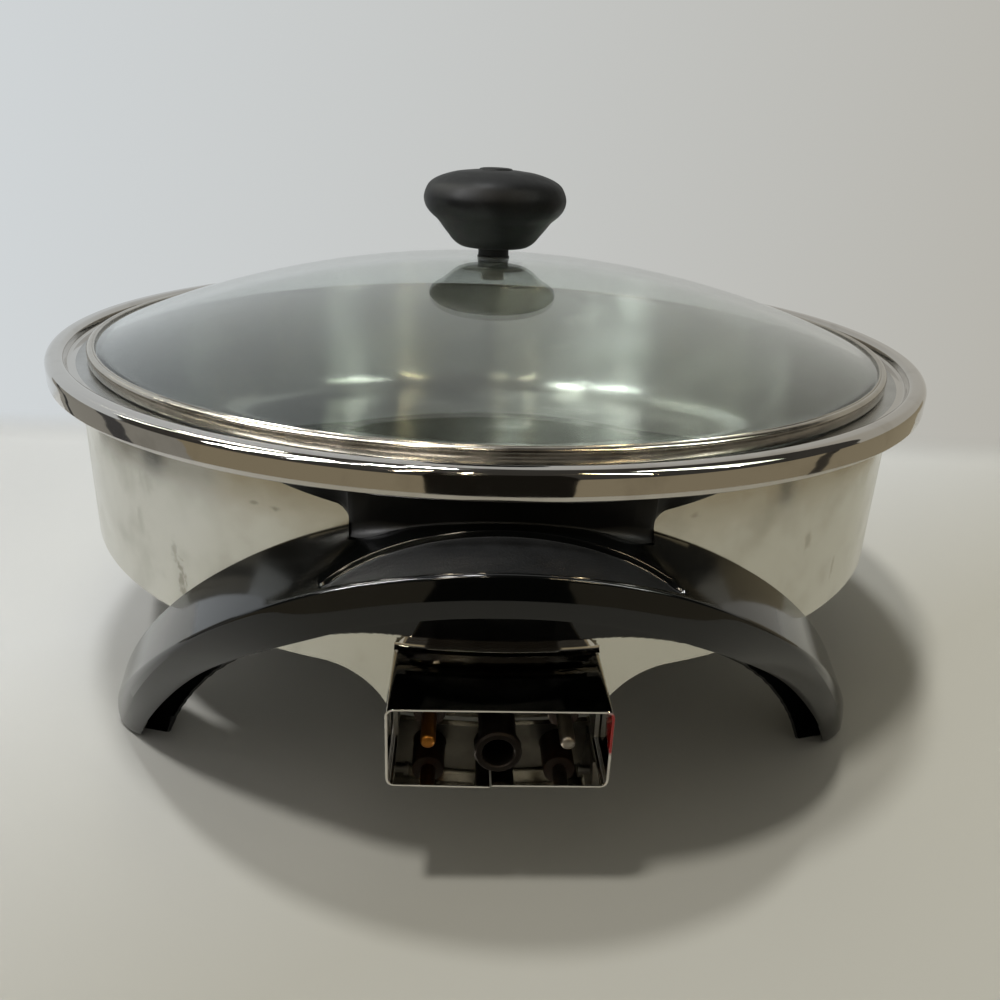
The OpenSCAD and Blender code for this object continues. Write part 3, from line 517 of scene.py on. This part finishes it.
def bezier(curve, t):
    a, b, c, d = map(Vector, curve)
    return (1 - t) ** 3 * a + 3 * (1 - t) ** 2 * t * b + 3 * (1 - t) * t * t * c + t ** 3 * d


def bezierSlope(curve, t):
    a, b, c, d = map(Vector, curve)
    return 3 * (1 - t) ** 2 * (b - a) + 6 * (1 - t) * t * (c - b) + 3 * t * t * (d - c)


def growth(y):
    return 1 + handle["draft"] * (handle["frontY"] + y)


def handleLoops(h):
    wall, inner = h["wall"], -h["backWall"]
    backLine = [bezier(h["back"], i / 60) for i in range(61)]

    def backHeight(x):
        if x <= backLine[0].x:
            return backLine[0].y
        for a, b in zip(backLine, backLine[1:]):
            if a.x <= x <= b.x:
                return a.y + (b.y - a.y) * (x - a.x) / max(b.x - a.x, 1e-6)
        return -1

    def depths(x):
        x = min(abs(x), 139)
        return h["planY"] - math.sqrt(h["planR"] ** 2 - x * x), -math.sqrt(h["backR"] ** 2 - x * x)

    def inward(t):
        slope, level = bezierSlope(h["arch"], t), ease((t - 0.7) / 0.3)
        return (Vector((slope.y, -slope.x)).normalized() * (1 - level) + Vector((-1, 0)) * level).normalized()

    def place(t, share, offset, w):
        flat = bezier(h["arch"], t) + inward(t) * w
        y = -170
        for _ in range(8):
            front, back = depths(flat.x * growth(y))
            y = front + (back - front) * share + offset
        return Vector((flat.x * growth(y), y, flat.y * growth(y)))

    def flangeDrop(t):
        w = wall + 1.5
        while w < 60:
            p = place(t, 1, 0, w)
            if p.z < backHeight(p.x) or p.z < 0.2 and t < 0.9 or p.z <= 0.01 and p.x < h["back"][3][0]:
                break
            w += 0.25
        return w

    tees = [i / h["stations"] for i in range(h["stations"] - 1)] + [0.985, 0.99, 0.994, 0.997, 1]
    tees = sorted(tees + [0.2515 + 0.0047 * i for i in range(12)])  # closer where the lens ends
    half = []
    for t in tees:
        w = h["faceTop"] + (h["faceFoot"] - h["faceTop"]) * t
        crease = h["crease"] + (h["creaseFoot"] - h["crease"]) * ease((t - 0.55) / 0.45)
        convex = h["convex"] * (1 - 0.75 * ease((t - 0.25) / 0.2))
        drop, edge = flangeDrop(t), crease + convex
        x = place(t, 0.3, 0, 0).x
        front, back = depths(x)
        # the lens is a shallow recess in the top, narrower towards its ends
        lensFront = h["planY"] - math.sqrt((h["planR"] - h["lensLip"]) ** 2 - x ** 2) - front
        lensBack = h["lensBackY"] - h["lensBow"] * (x / 35) ** 2 - front
        wide = max(lensBack - lensFront, 0) * math.sqrt(max(1 - (x / h["lensHalf"]) ** 8, 0))
        lensFront, scale = min(lensFront, 2.8), min(wide / 4, 1)
        deep = h["lensDepth"] * scale
        lens = [(a * scale, b * deep) for a, b in ((0, 0), (0.18, 0.12), (0.5, 0.55), (0.8, 0.9), (1.15, 1))]
        lens += [(1.15 * scale + (wide - 2.3 * scale) * i / 8, deep) for i in range(1, 8)]
        lens += [(wide - a, d) for a, d in reversed(lens[:5])]
        rearStart, rearEnd = lensFront + wide, back - front - 1
        # front face, rounded at both edges
        low = w - 1.1
        loop = [(0, wall, w - 0.7), (0, wall - 0.7, w), (0, 1.1, w), (0, 0.45, w - 0.35), (0, 0.3, low)]
        loop += [(0, 0.3 * (1 - i / 10) ** 2 + convex * max((i / 10 - 0.4) / 0.6, 0) ** 2,
                  low - (low - crease) * i / 10) for i in range(1, 11)]
        turnIn = h["turnIn"] * ease((t - 0.35) / 0.5)  # down the legs the face turns to the front
        loop = [(share, y + turnIn * max(down - crease, 0), down) for share, y, down in loop]
        loop += [(0, convex + crease * (1 - math.cos(a)), crease * (1 - math.sin(a))) for a in
                 (math.radians(20 + 70 * i / 7) for i in range(1, 8))]
        if lensFront <= edge:  # the rounding passes the lens's line near the feet
            lens = [(edge - lensFront, 0)] * len(lens)
            rearStart = edge
        loop += [(0, edge + max(lensFront - edge, 0) / 2, 0)]
        lensAt, lensEnd = len(loop), len(loop) + len(lens)
        loop += [(0, lensFront + a, d) for a, d in lens]
        loop += [(0, rearStart + (rearEnd - rearStart) * i / 7, 0) for i in range(1, 8)]
        # rear flange and the channel between it and the front
        loop += [(1, -0.3, 0.3), (1, 0, 1), (1, 0, drop / 2), (1, 0, drop - 0.9), (1, -0.4, drop - 0.2),
                 (1, -1, drop), (1, 0.8 + inner, drop), (1, inner, drop - 0.8), (1, inner, wall + 1.2),
                 (1, inner - 1.2, wall), (0, wall + 1.2, wall), (0, wall, wall + 1.2)]
        half.append([place(t, *item) for item in loop])
    for loop in half:  # the feet are rounded off just above the table
        level = sum(p.z for p in loop) / len(loop)
        if level < h["sole"]:  # a sole closes the channel
            loop[-4:] = [loop[-5].lerp(loop[0], (i + 1) / 5) for i in range(4)]
        if level < h["footRound"] * 1.5:
            middle = sum(loop, Vector()) / len(loop)
            for i, p in enumerate(loop):
                low = min(max(1 - p.z / h["footRound"], 0), 1)
                shrink = 0.1 * (1 - math.sqrt(1 - low * low))
                loop[i] = Vector((p.x + (middle.x - p.x) * shrink, p.y + (middle.y - p.y) * shrink, max(p.z, 0)))
    mirrored = [[Vector((-p.x, p.y, p.z)) for p in loop] for loop in reversed(half[1:])]
    return mirrored + half, lensAt + 2, lensEnd - 4


pad = {"side": 39.4, "depth": 6.7, "wingDepth": 4.5, "tipDepth": 2.2, "wingHalf": 70, "top": 104.4, "tip": 1.2,
       "root": 6, "notchR": 4.6, "backR": 155.35}


def archHeight(x, y):
    low, high = 0, 1
    for _ in range(40):
        t = (low + high) / 2
        low, high = (t, high) if bezier(handle["arch"], t).x * growth(y) < abs(x) else (low, t)
    return bezier(handle["arch"], low).y * growth(y)


def padLoops(p):
    side, notch, depth, top, root = p["side"], p["notchR"], p["depth"], p["top"], p["root"]
    xs = [-70, -66, -61, -56, -51, -47, -44, -42.6, -41.3, -40.2, -39.6, -39.39, -38, -36, -33]
    xs += [-30 + 3 * i for i in range(11)]
    loops = []
    for x in xs + [-x for x in reversed(xs[:-1])]:
        far, back = abs(x), math.sqrt(p["backR"] ** 2 - x * x)
        deep = depth + (p["wingDepth"] - depth) * ease((far - 34) / 10)
        deep += (p["tipDepth"] - deep) * ease((far - 48) / 24)
        if far <= side:
            low, foot, base = archHeight(x, -158) - 2, deep - 1.4, archHeight(x, -back - depth) - 0.15
            flare = 0.8 + 2.4 * ease((far - 22) / 12)
            skirt = [(foot + flare, base - 0.3), (foot + 0.45 * flare, base + 0.12 * flare),
                     (foot + 0.16 * flare, base + 0.45 * flare), (foot, base + flare),
                     (foot + 0.1, base + flare + 0.4)]
        else:  # the wing's face leans in at its lower edge
            low = top - root + (root - p["tip"]) * (far - side - notch) / (p["wingHalf"] - side - notch)
            if far < side + notch:
                low = top - root - notch + math.sqrt(notch ** 2 - (side + notch - far) ** 2)
            skirt = [(max(deep - 2.4 + 0.28 * i, 0.2), low + 0.45 * i) for i in range(5)]
        loop = [(0, low)] + [(d, min(z, top - 1.1)) for d, z in skirt]
        loop += [(deep, top - 1), (deep - 0.3, top - 0.3), (deep - 1, top), (0, top)]
        loops.append([(x, -back - d, z) for d, z in loop])
    return loops


boss = {"x": 18, "y": -169, "r": 5, "z": 84.6, "top": 91.5, "hole": 1.8}


def bossParts(b, side):
    r, low, turns = b["r"], b["z"], [math.tau * i / 32 for i in range(32)]
    points, faces, slots = loft([
        [(side * b["x"] + r * math.cos(a), b["y"] + r * math.sin(a), z) for a in turns] for r, z in
        ((b["hole"], b["top"]), (b["hole"], low), (r - 0.4, low), (r, low + 0.4), (r, b["top"]))])
    return points, faces[:-2], slots[:-2]


archLoops, lensFrom, lensTo = handleLoops(handle)
lensSpan = [s for s, loop in enumerate(archLoops) if abs(loop[lensFrom].x) < 45]


def lensSlot(s, i):
    return 1 if lensFrom <= i < lensTo and min(lensSpan) <= s < max(lensSpan) else 0


points, faces, slots = gather(loft(archLoops, lensSlot), loft(padLoops(pad), lambda s, i: 2), bossParts(boss, -1),
                              bossParts(boss, 1))
handleFinish = [finishes[finish] for finish in ("handleGloss", "handleGrain", "handleRecess")]
for name, node, side in (("frontHandle", "front_handle", 1), ("rearHandle", "rear_handle", -1)):
    makePiece(name, ([(side * x, side * y, z) for x, y, z in points], faces, slots), handleFinish, "handle_phenolic",
              "base", node, smoothAngle=30)
print("handles made")


# terminal guard: a folded strip with a seam under it and a tab up the shell

guard = {"half": 28.5, "low": 33.5, "top": 56.9, "sheet": 0.7, "edge": 0.14, "cornerR": 2.2, "frontY": -182.5,
         "backR": 155.4, "seamFrom": -2.0, "seamTo": -1.5, "sag": 0.45, "tabTop": 62.3, "tabCorner": 5, "bend": 1.5}


def guardParts(g):
    front, edge, sheet, bend, top = g["frontY"], g["edge"], g["sheet"], g["bend"], g["top"]

    def path(inset):
        # from the seam round to the seam again, where the free end sags
        r, w = g["cornerR"] - inset, g["half"] - inset
        low, high, flat = g["low"] + inset, top - inset, w - r
        tall, free = high - low - 2 * r, flat + g["seamFrom"]
        line = [(g["seamTo"] + (flat - g["seamTo"]) * i / 8, low) for i in range(8)]
        line += arc(flat, low + r, r, -90, 0, 6) + [(w, low + r + tall * i / 6) for i in range(1, 6)]
        line += arc(flat, high - r, r, 0, 90, 6) + [(flat - 2 * flat * i / 16, high) for i in range(1, 16)]
        line += arc(-flat, high - r, r, 90, 180, 6) + [(-w, high - r - tall * i / 6) for i in range(1, 6)]
        line += arc(-flat, low + r, r, 180, 270, 6)
        return line + [(free * i / 8 - flat, low - g["sag"] * i / 8) for i in range(1, 9)]

    def run(x, z):
        back = -math.sqrt(g["backR"] ** 2 - x ** 2)
        return [(x, front + edge + (back - front - edge) * i / 5, z) for i in range(6)]

    loops = [[(outerIn[0], front, outerIn[1]), (innerIn[0], front, innerIn[1])] + run(*inner) + run(*outer)[::-1]
             for outer, outerIn, innerIn, inner in zip(*map(path, (0, edge, sheet - edge, sheet)))]
    tab = []
    for i in range(41):
        x = -g["half"] + 0.3 + (2 * g["half"] - 0.6) * i / 40
        back = -math.sqrt((g["backR"] + 0.15) ** 2 - x * x)
        crest = min(g["tabTop"], g["tabTop"] - g["tabCorner"] + g["half"] - abs(x))
        line = [(back - sheet - bend + bend * math.sin(a), top + bend - bend * math.cos(a))
                for a in (math.radians(15 * k) for k in range(7))]
        line += [(back - sheet, crest - 0.2), (back - sheet + 0.15, crest), (back - 0.1, crest), (back, top + 1),
                 (back - 0.4, top - 0.3), (back - 1.4, top - sheet)]
        tab.append([(x, y, z) for y, z in line])
    return gather(loft(loops), loft(tab))


def addPaintDab(material, dab):
    shader, add = material.node_tree.nodes["Principled BSDF"], partial(addNode, material.node_tree)
    place = add("TexCoord").outputs["Object"]
    noise = add("TexNoise", {"Vector": place, "Scale": 1 / (dab["grain"] * mm), "Detail": 3})
    shake = add("VectorMath.MULTIPLY", (noise.outputs["Color"], dab["shake"]))
    moved = add("VectorMath.ADD", (place, shake))
    away = add("VectorMath.SUBTRACT", (moved, dab["centre"]))
    size = add("VectorMath.DIVIDE", (away, dab["half"]))
    reach = add("VectorMath.LENGTH", (size,))
    mask = add("MapRange", (reach, 0.9, 1.1, 1, 0))
    under = shader.inputs["Base Color"].links[0].from_socket
    add("Mix", {"Factor": mask, "A": under, "B": linear(dab["colour"])}, shader.inputs["Base Color"],
            data_type="RGBA")
    add("Math.SUBTRACT", (1, mask), shader.inputs["Metallic"])


addPaintDab(finishes["guardSteel"], {"centre": (0.0295, -0.181, 0.0515), "half": (0.004, 0.006, 0.006),
                                     "colour": "9C1C1A", "grain": 2.4, "shake": (0.003, 0.003, 0.003)})
makePiece("guard", guardParts(guard), [finishes["guardSteel"]], "guard_steel", "base", "terminal_guard")

rivet = {"x": 28.5, "y": -163, "z": 44.9, "headR": 2, "headT": 1, "shankR": 1.2, "tail": 24.3, "tailT": 0.8}
r, top, shank, end = rivet["headR"], rivet["headT"], rivet["shankR"], rivet["tail"] - rivet["x"]
outline = [(0, top), (1.1, top - 0.1), (1.8, top - 0.5), (r, 0), (shank, 0), (shank, end), (2, end),
           (2, end - rivet["tailT"]), (0, end - rivet["tailT"])]
for name, side, axis in (("guardRivetRight", 1, "X"), ("guardRivetLeft", -1, "-X")):
    turnPiece(name, outline, "zincSteel", 32, "rivet_steel", "base", "guard_rivets",
              place=along(side * rivet["x"], rivet["y"], rivet["z"], axis))


# terminals: two pins in porcelain bushings, and the probe tube between them

pin = {"x": 18, "z": 43.6, "tipY": 178.3, "tipRound": 1.3, "freeY": 165.3, "r": 2, "shankR": 1.8}
bushing = {"r": 4.5, "flangeR": 6, "flangeT": 3, "frontY": 165, "bore": 1.95}
tube = {"r": 5, "bore": 4.1, "collarR": 6.1, "collar": 2.4, "mouthY": 179.8, "z": 41.9, "length": 126, "endT": 1.5}

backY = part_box("terminal_insulators")[1].y / mm
for side, name, finish in ((-1, "left", "brassPin"), (1, "right", "nickelPin")):
    node = name + "_terminal_pin"
    start = -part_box(node)[1].y / mm
    r, shank, tipR = pin["r"], pin["shankR"], pin["tipRound"]
    free, tip = pin["freeY"] - start, pin["tipY"] - start
    outline = [(0, 0), (shank, 0), (shank, free), (r, free)]
    outline += arc(r - tipR, tip - tipR, tipR, 0, 60, 5) + [(0.5, tip - 0.02), (0, tip)]
    turnPiece(name + "Pin", outline, finish, 40, "pin_metal", "base", node,
              place=along(side * pin["x"], -start, pin["z"], "-Y"))
    r, bore, rim, thick = bushing["r"], bushing["bore"], bushing["flangeR"], bushing["flangeT"]
    long = bushing["frontY"] + backY
    outline = [(bore, 0), (rim - 0.5, 0), (rim, 0.5), (rim, thick - 0.5), (rim - 0.5, thick), (r, thick),
               (r, long - 0.7), (r - 0.2, long - 0.2), (r - 0.7, long), (bore, long), (bore, 0)]
    turnPiece(name + "Bushing", outline, "bushing", 48, "insulator_ceramic", "base", "terminal_insulators",
              place=along(side * pin["x"], backY, pin["z"], "-Y"))

r, bore, rim, end = tube["r"], tube["bore"], tube["collarR"], tube["length"]
start = end - tube["collar"]
outline = [(0, 0), (r, 0), (r, start), (rim - 0.3, start), (rim, start + 0.3), (rim, end - 0.5), (rim - 0.5, end),
           (bore + 0.3, end), (bore, end - 0.3), (bore, tube["endT"]), (0, tube["endT"])]
turnPiece("probeTube", outline, "tubeSteel", 56, "tube_steel", "base", "probe_tube",
          place=along(0, end - tube["mouthY"], tube["z"], "-Y"))
print("guard and terminals made")


# screws under the part

coverScrew = {"r": 2.6, "h": 1.5, "shank": 1.3, "reach": 4, "slot": 0.6, "cross": False, "count": 8}
handleScrew = {"r": 3.6, "h": 2.4, "shank": 1.7, "reach": 7.5, "slot": 1, "cross": True, "count": 2}


def screwHead(s):
    r, h, shank = s["r"], s["h"], s["shank"]
    outline = [(0, -h), (r * 0.5, -h * 0.97), (r * 0.85, -h * 0.75), (r, -h * 0.35), (r, 0), (shank, 0),
               (shank, s["reach"]), (0, s["reach"])]
    solid = addObject("screwBlank", turned("screwBlank", outline, finishes["zincSteel"], 32))
    half, long = s["slot"] / 2, r * (0.6 if s["cross"] else 1.4)
    bars = [(long, half), (half, long)] if s["cross"] else [(long, half)]
    block = [(0, 1, 3, 2), (4, 6, 7, 5), (0, 4, 5, 1), (2, 3, 7, 6), (0, 2, 6, 4), (1, 5, 7, 3)]
    points, faces, slots = gather(*[([(x, y, z) for x in (-i, i) for y in (-j, j) for z in (-h - 1, -h + h * 0.5)],
                                     block) for i, j in bars])
    cutter = bpy.data.meshes.new("screwSlot")
    cutter.from_pydata([Vector(p) * mm for p in points], [], faces)
    blade = addObject("screwSlot", cutter)
    cut = solid.modifiers.new("slot", "BOOLEAN")
    cut.object, cut.operation, cut.solver, cut.use_self = blade, "DIFFERENCE", "EXACT", s["cross"]
    mesh = meshOf(solid)
    for item in (solid, blade):
        bpy.data.objects.remove(item)
    return mesh


def screwSet(name, screw, node, radius, first, step):
    mesh = runTree(name, screwHead(screw), copiesRoundAxis, {
        "Count": screw["count"], "Radius": radius, "Height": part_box(node)[0].z + screw["h"] * mm, "First": first,
        "Step": step, "Material": finishes["zincSteel"]})
    settle(addObject(name, mesh), "zinc_steel", "base", node)


coverCircle, eighth = 145.63 * mm, math.radians(45)
screwSet("coverScrews", coverScrew, "base_screws", coverCircle, eighth / 2, eighth)
bossCircle, halfTurn = math.hypot(boss["x"], boss["y"]) * mm, math.atan2(boss["x"], -boss["y"])
for name, node, middle in (("frontHandleScrews", "front_handle_screws", -90),
                           ("rearHandleScrews", "rear_handle_screws", 90)):
    screwSet(name, handleScrew, node, bossCircle, math.radians(middle) - halfTurn, 2 * halfTurn)
print("screws made")


# lid

lid = {"crownZ": 141.8, "domeR": 404.5, "glassT": 4, "edgeLow": 110.2, "edgeTop": 113.4, "lapR": 148.9,
       "glassR": 150.8, "round": 0.5, "holeR": 3.2, "bandR": 151.7, "bandZ": 109.3, "bandH": 5, "bandT": 0.6,
       "bead": 1.3, "lipR": 149.3, "lipFrom": 149.75, "lipRound": 0.4, "segments": 288}


def glassOutline(g):
    def dome(r, drop):
        return g["crownZ"] - g["domeR"] + math.sqrt((g["domeR"] - drop) ** 2 - r * r)

    lap, r, low, high, bevel = g["lapR"], g["glassR"], g["edgeLow"], g["edgeTop"], g["round"]
    steps = [g["holeR"] + (lap - 1.2 - g["holeR"]) * i / 30 for i in range(31)]
    top = [(x, dome(x, 0)) for x in steps]
    edge = [(lap - 0.4, high + 0.12), (lap, high), (r - bevel, high), (r, high - bevel), (r, low + bevel),
            (r - bevel, low)]
    # under the band's lip the glass keeps its full thickness and curve
    lowest = (lap - 0.2, dome(lap - 0.2, g["glassT"]) + 0.3)
    under = [(x, dome(x, g["glassT"])) for x in reversed(steps)]
    return top + edge + [lowest] + under + top[:1]


def bandOutline(g):
    lap, r, low, t, bead, lip = g["lapR"], g["bandR"], g["bandZ"], g["bandT"], g["bead"], g["lipRound"]
    high = low + g["bandH"]
    outside = [(lap, low + 0.1), (lap + 0.4, low)] + arc(r - bead, low + bead, bead, -90, 0, 6)
    outside += arc(r - bead, high - bead, bead, 0, 125, 8) + [(g["lipFrom"], high - lip - 0.02)]
    outside += arc(g["lipR"], high - lip, lip, 60, 180, 5)
    inside = [(lap, high - t - lip), (r - bead, high - t), (r - t, high - bead), (r - t, low + bead),
              (r - bead, low + t), (lap, low + t)]
    return outside + inside + outside[:1]


turnPiece("lidGlass", glassOutline(lid), "glass", lid["segments"], "lid_glass", "lid", "lid_glass", smoothAngle=25)
turnPiece("lidBand", bandOutline(lid), "bandSteel", lid["segments"], "band_steel", "lid", "lid_band")

knob = {"r": 27.6, "h": 28.7, "z": 146.0, "neckZ": 142.6, "neckR": 6, "seat": 1.6,
        "shape": [(0.40, 0), (0.47, 0.012), (0.54, 0.049), (0.60, 0.10), (0.64, 0.15), (0.71, 0.23), (0.80, 0.341),
                  (0.87, 0.40), (0.925, 0.45), (0.98, 0.53), (1, 0.634), (0.97, 0.739), (0.905, 0.829), (0.77, 0.902),
                  (0.56, 0.962), (0.34, 0.99), (0.255, 0.997)]}
cap = {"r": 6.5, "t": 2.2, "gap": 0.15, "round": 0.9,
       "crown": ((0.97, 0.35), (0.9, 0.62), (0.75, 0.83), (0.5, 0.95), (0.25, 0.99), (0, 1))}
washer = {"r": 13.5, "z": 135.3, "t": 1.2, "bore": 2.05}


def spline(points, steps):
    line = []
    padded = [points[0]] + points + [points[-1]]
    for a, b, c, d in zip(padded, padded[1:], padded[2:], padded[3:]):
        for i in range(steps):
            t = i / steps
            line.append(tuple(0.5 * (2 * b[k] + (c[k] - a[k]) * t + (2 * a[k] - 5 * b[k] + 4 * c[k] - d[k]) * t * t
                              + (3 * b[k] - a[k] - 3 * c[k] + d[k]) * t ** 3) for k in (0, 1)))
    return line + [points[-1]]


z, r, low, wide = knob["z"], knob["neckR"], knob["neckZ"], cap["r"] + cap["gap"]
seat = z + knob["h"] - knob["seat"]
outline = [(0, low), (r - 0.4, low), (r, low + 0.4), (r, z - 0.5), (r + 0.6, z)]
outline += [(x * knob["r"], z + y * knob["h"]) for x, y in spline(knob["shape"], 5)]
outline += [(wide, z + knob["h"] - 0.1), (wide, seat), (0, seat)]
turnPiece("knobBody", outline, "knobPlastic", 128, "knob_phenolic", "lid", "knob")

r, shoulder = cap["r"], seat + cap["gap"] + cap["t"] - cap["round"]
outline = [(0, seat + 0.1), (r, seat + 0.1), (r, shoulder)]
outline += [(r * x, shoulder + cap["round"] * y) for x, y in cap["crown"]]
turnPiece("knobCap", outline, "knobPlastic", 64, "knob_phenolic", "lid", "knob_cap")

r, low, top, bore = washer["r"], washer["z"], washer["z"] + washer["t"], washer["bore"]
outline = [(bore, low), (r - 0.4, low), (r, low + 0.4), (r, top - 0.3), (r - 0.3, top), (bore, top), (bore, low)]
turnPiece("glassWasher", outline, "washerSteel", 80, "washer_steel", "lid", "glass_washer")
print("lid made")


# CAD nodes that are shown as they are

keptNodes = {"base_cover": "coverSteel", "heat_spreader": "spreader", "heating_element": "sheath",
             "element_clips": "zincSteel", "probe_clips": "zincSteel", "terminal_bracket": "zincSteel",
             "front_bracket": "zincSteel", "rear_bracket": "zincSteel", "knob_insert": "insertBrass",
             "knob_gasket": "rubber", "glass_seal": "rubber", "knob_screw": "washerSteel"}
for node, finish in keptNodes.items():
    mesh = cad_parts[node].data
    mesh.materials.clear()
    mesh.materials.append(finishes[finish])


# studio, in metres: a pale board that curves up behind, lamps, and cards that only reflections see

studio = {"wallY": 0.205, "sweep": 0.035, "wallTop": 0.62, "side": 3.0, "near": -3.0}


def boardMaterial(look):
    # matt painted board: no gloss; for camera, glossy and transmission rays its wall glows a pale colour, with
    # painted shade that darkens it to the right
    material, add, shader, place = newMaterial("mattBoard", look)
    x, y, z = add("SeparateXYZ", (place,)).outputs
    path = add("LightPath").outputs
    seen = add("Math.MAXIMUM", (path["Is Camera Ray"], path["Is Glossy Ray"]))
    seen = add("Math.MAXIMUM", (seen, path["Is Transmission Ray"]))
    rise = add("MapRange", (z, 0, 0.012, 0, 1), interpolation_type="SMOOTHSTEP")
    share = add("Math.MULTIPLY", (seen, rise))
    # painted shade: the board's colour darkens to the right and towards the front, as if less light fell there, and
    # its glow darkens to the right
    slant = add("VectorMath.DOT_PRODUCT", (place, (1.4, -2, 0)))
    shadeRightFront = add("MapRange", (slant, -0.12, 0.36, 0, 1))
    across = add("MapRange", (x, -0.35, 0.4, 0, 1))
    add("Mix", {"Factor": shadeRightFront, "A": linear(look["colour"]), "B": linear(look["colourShadedRight"])},
            shader.inputs["Base Color"], data_type="RGBA")
    glowShadedRight = add("Mix", {"Factor": across, "A": linear(look["left"]), "B": linear(look["right"])}, data_type="RGBA")
    glow = add("Emission", {"Color": glowShadedRight, "Strength": 1})
    front = add("MixShader", (share, shader, glow))
    clear = add("BsdfTransparent")
    facing = add("NewGeometry").outputs
    surface = material.node_tree.nodes["Material Output"].inputs["Surface"]
    add("MixShader", (facing["Backfacing"], front, clear), surface)
    shader.inputs["Specular IOR Level"].default_value = 0.1
    return material


def stagePiece(name, points, faces, material):
    mesh = bpy.data.meshes.new(name)
    mesh.from_pydata(points, [], faces)
    mesh.materials.append(material)
    piece = addObject(name, mesh)
    return piece


wall, sweep = studio["wallY"], studio["sweep"]
profile = [(studio["near"], 0), (-0.4, 0), (wall - sweep, 0)] + arc(wall - sweep, sweep, sweep, -90, 0, 16)[1:]
profile += [(wall, studio["wallTop"])]
boardPoints = [(x, y, z) for x in (-studio["side"], studio["side"]) for y, z in profile]
boardFaces = [(i, len(profile) + i, len(profile) + i + 1, i + 1) for i in range(len(profile) - 1)]
# the board's second colour and the right tone of its glow are painted shade
board = stagePiece("board", boardPoints, boardFaces, boardMaterial({
    "colour": "E0E1E0", "colourShadedRight": "C4C1B5", "roughness": 0.9, "wander": 0.03, "patch": 60, "left": "D2D7DA",
    "right": "B4B1A8"}))
board.data.shade_smooth()
board.visible_shadow = False  # the lamps stand behind it


def screen(name, first, last, radius, low, high, colour, strength):
    # a curved strip that only reflections see, from one bearing to another, from the front towards the right
    material = bpy.data.materials.new(name)
    material.use_nodes = True
    material.node_tree.nodes.clear()
    add = partial(addNode, material.node_tree)
    glow = add("Emission", {"Color": linear(colour), "Strength": strength})
    add("OutputMaterial", {"Surface": glow})
    steps = max(int((last - first) / 4), 1)
    turns = [math.radians(first + (last - first) * i / steps) for i in range(steps + 1)]
    points = [(radius * math.sin(a), -radius * math.cos(a), z) for a in turns for z in (low, high)]
    piece = stagePiece(name, points, [(2 * i, 2 * i + 2, 2 * i + 3, 2 * i + 1) for i in range(steps)], material)
    for flag in ("visible_camera", "visible_diffuse", "visible_shadow", "visible_volume_scatter"):
        setattr(piece, flag, False)


for name, first, last, radius, high, colour in (
        # dim room beyond the board, the dark viewer in the middle and two posts
        ("room", -106, 108, 0.362, 0.12, "938973"), ("roomLeft", -106, -58, 0.361, 0.12, "93918A"),
        ("viewer", -12, 13.5, 0.36, 0.34, "1C1A16"), ("post", -82, -75, 0.36, 0.12, "4A4A4A"),
        ("rod", -102, -100, 0.36, 0.12, "3A3A3A"), ("rightPost", 63, 67, 0.36, 0.12, "3A3731")):
    screen(name, first, last, radius, 0, high, colour, 1)

for name, first, last, radius, colour, strength in (
        # windows and lamps high in the room: they draw the streaks down the inside of the pan
        ("leftWindow", -69, -67, 0.8, "FFFFFF", 80), ("leftPane", -62.8, -60.2, 0.8, "FFFFFF", 130),
        ("leftLamp", -46.3, -45.4, 0.8, "FFFFFF", 60), ("rightPanel", 54, 71, 0.8, "E6EEDC", 4.5),
        ("rightLamp", 57.5, 59, 0.79, "FFFFFF", 50), ("warmLamp", 34.8, 35.7, 0.8, "FFE9BE", 75),
        ("thinLamp", -7.8, -7.2, 0.8, "FFF2D8", 85), ("midLamp", -21.6, -20.4, 0.8, "FFF3DA", 50),
        ("sideLamp", -119, -117, 0.8, "F4F4E8", 90), ("sideLine", -99.7, -99, 0.8, "F4F4E8", 40)):
    screen(name, first, last, radius, 0.5, 1.5, colour, strength)

# two far lights from the left, one behind the object and one before it, give the double shadow
for name, toLight, energy, tint in (("rearLamp", (-0.12, 0.22, 1), 0.93, (0.97, 0.99, 1.0)),
                                    ("frontLamp", (-0.28, -0.1, 1), 0.98, (1.0, 0.99, 0.96))):
    sun = addObject(name, bpy.data.lights.new(name, "SUN"))
    sun.data.energy, sun.data.angle, sun.data.color = energy, math.radians(6), tint
    sun.matrix_world = Vector(toLight).to_track_quat("Z", "Y").to_matrix().to_4x4()

scene.world = bpy.data.worlds.new("softRoom")
scene.world.use_nodes = True
scene.world.node_tree.nodes.clear()
add = partial(addNode, scene.world.node_tree)
path = add("LightPath").outputs
ambient = add("Background", {"Color": (1.0, 0.98, 0.92, 1), "Strength": 0.24})
dim = add("Background", {"Color": (1.0, 0.95, 0.85, 1), "Strength": 0.05})
seen = add("Background", {"Color": linear("C9CAC8"), "Strength": 1})
gloss = add("MixShader", (path["Is Glossy Ray"], ambient, dim))
mix = add("MixShader", (path["Is Camera Ray"], gloss, seen))
add("OutputWorld", {"Surface": mix})


# camera

view = {"yaw": 2.84, "pitch": 22.33, "roll": 2.37, "place": (-0.0115, -0.367, 0.1887), "lens": 32.4, "sensor": 36,
        "near": 0.01}
yaw, pitch, roll = [math.radians(view[k]) for k in ("yaw", "pitch", "roll")]
ahead = Vector((math.sin(yaw) * math.cos(pitch), math.cos(yaw) * math.cos(pitch), -math.sin(pitch)))
level = Vector((math.cos(yaw), -math.sin(yaw), 0))
upright = level.cross(ahead)
across = level * math.cos(roll) + upright * math.sin(roll)
over = upright * math.cos(roll) - level * math.sin(roll)
camera = addObject("camera", bpy.data.cameras.new("camera"))
camera.matrix_world = Matrix.Translation(view["place"]) @ Matrix((across, over, -ahead)).transposed().to_4x4()
camera.data.lens, camera.data.sensor_width, camera.data.clip_start = view["lens"], view["sensor"], view["near"]
scene.camera = camera
scene.view_settings.view_transform = "Standard"
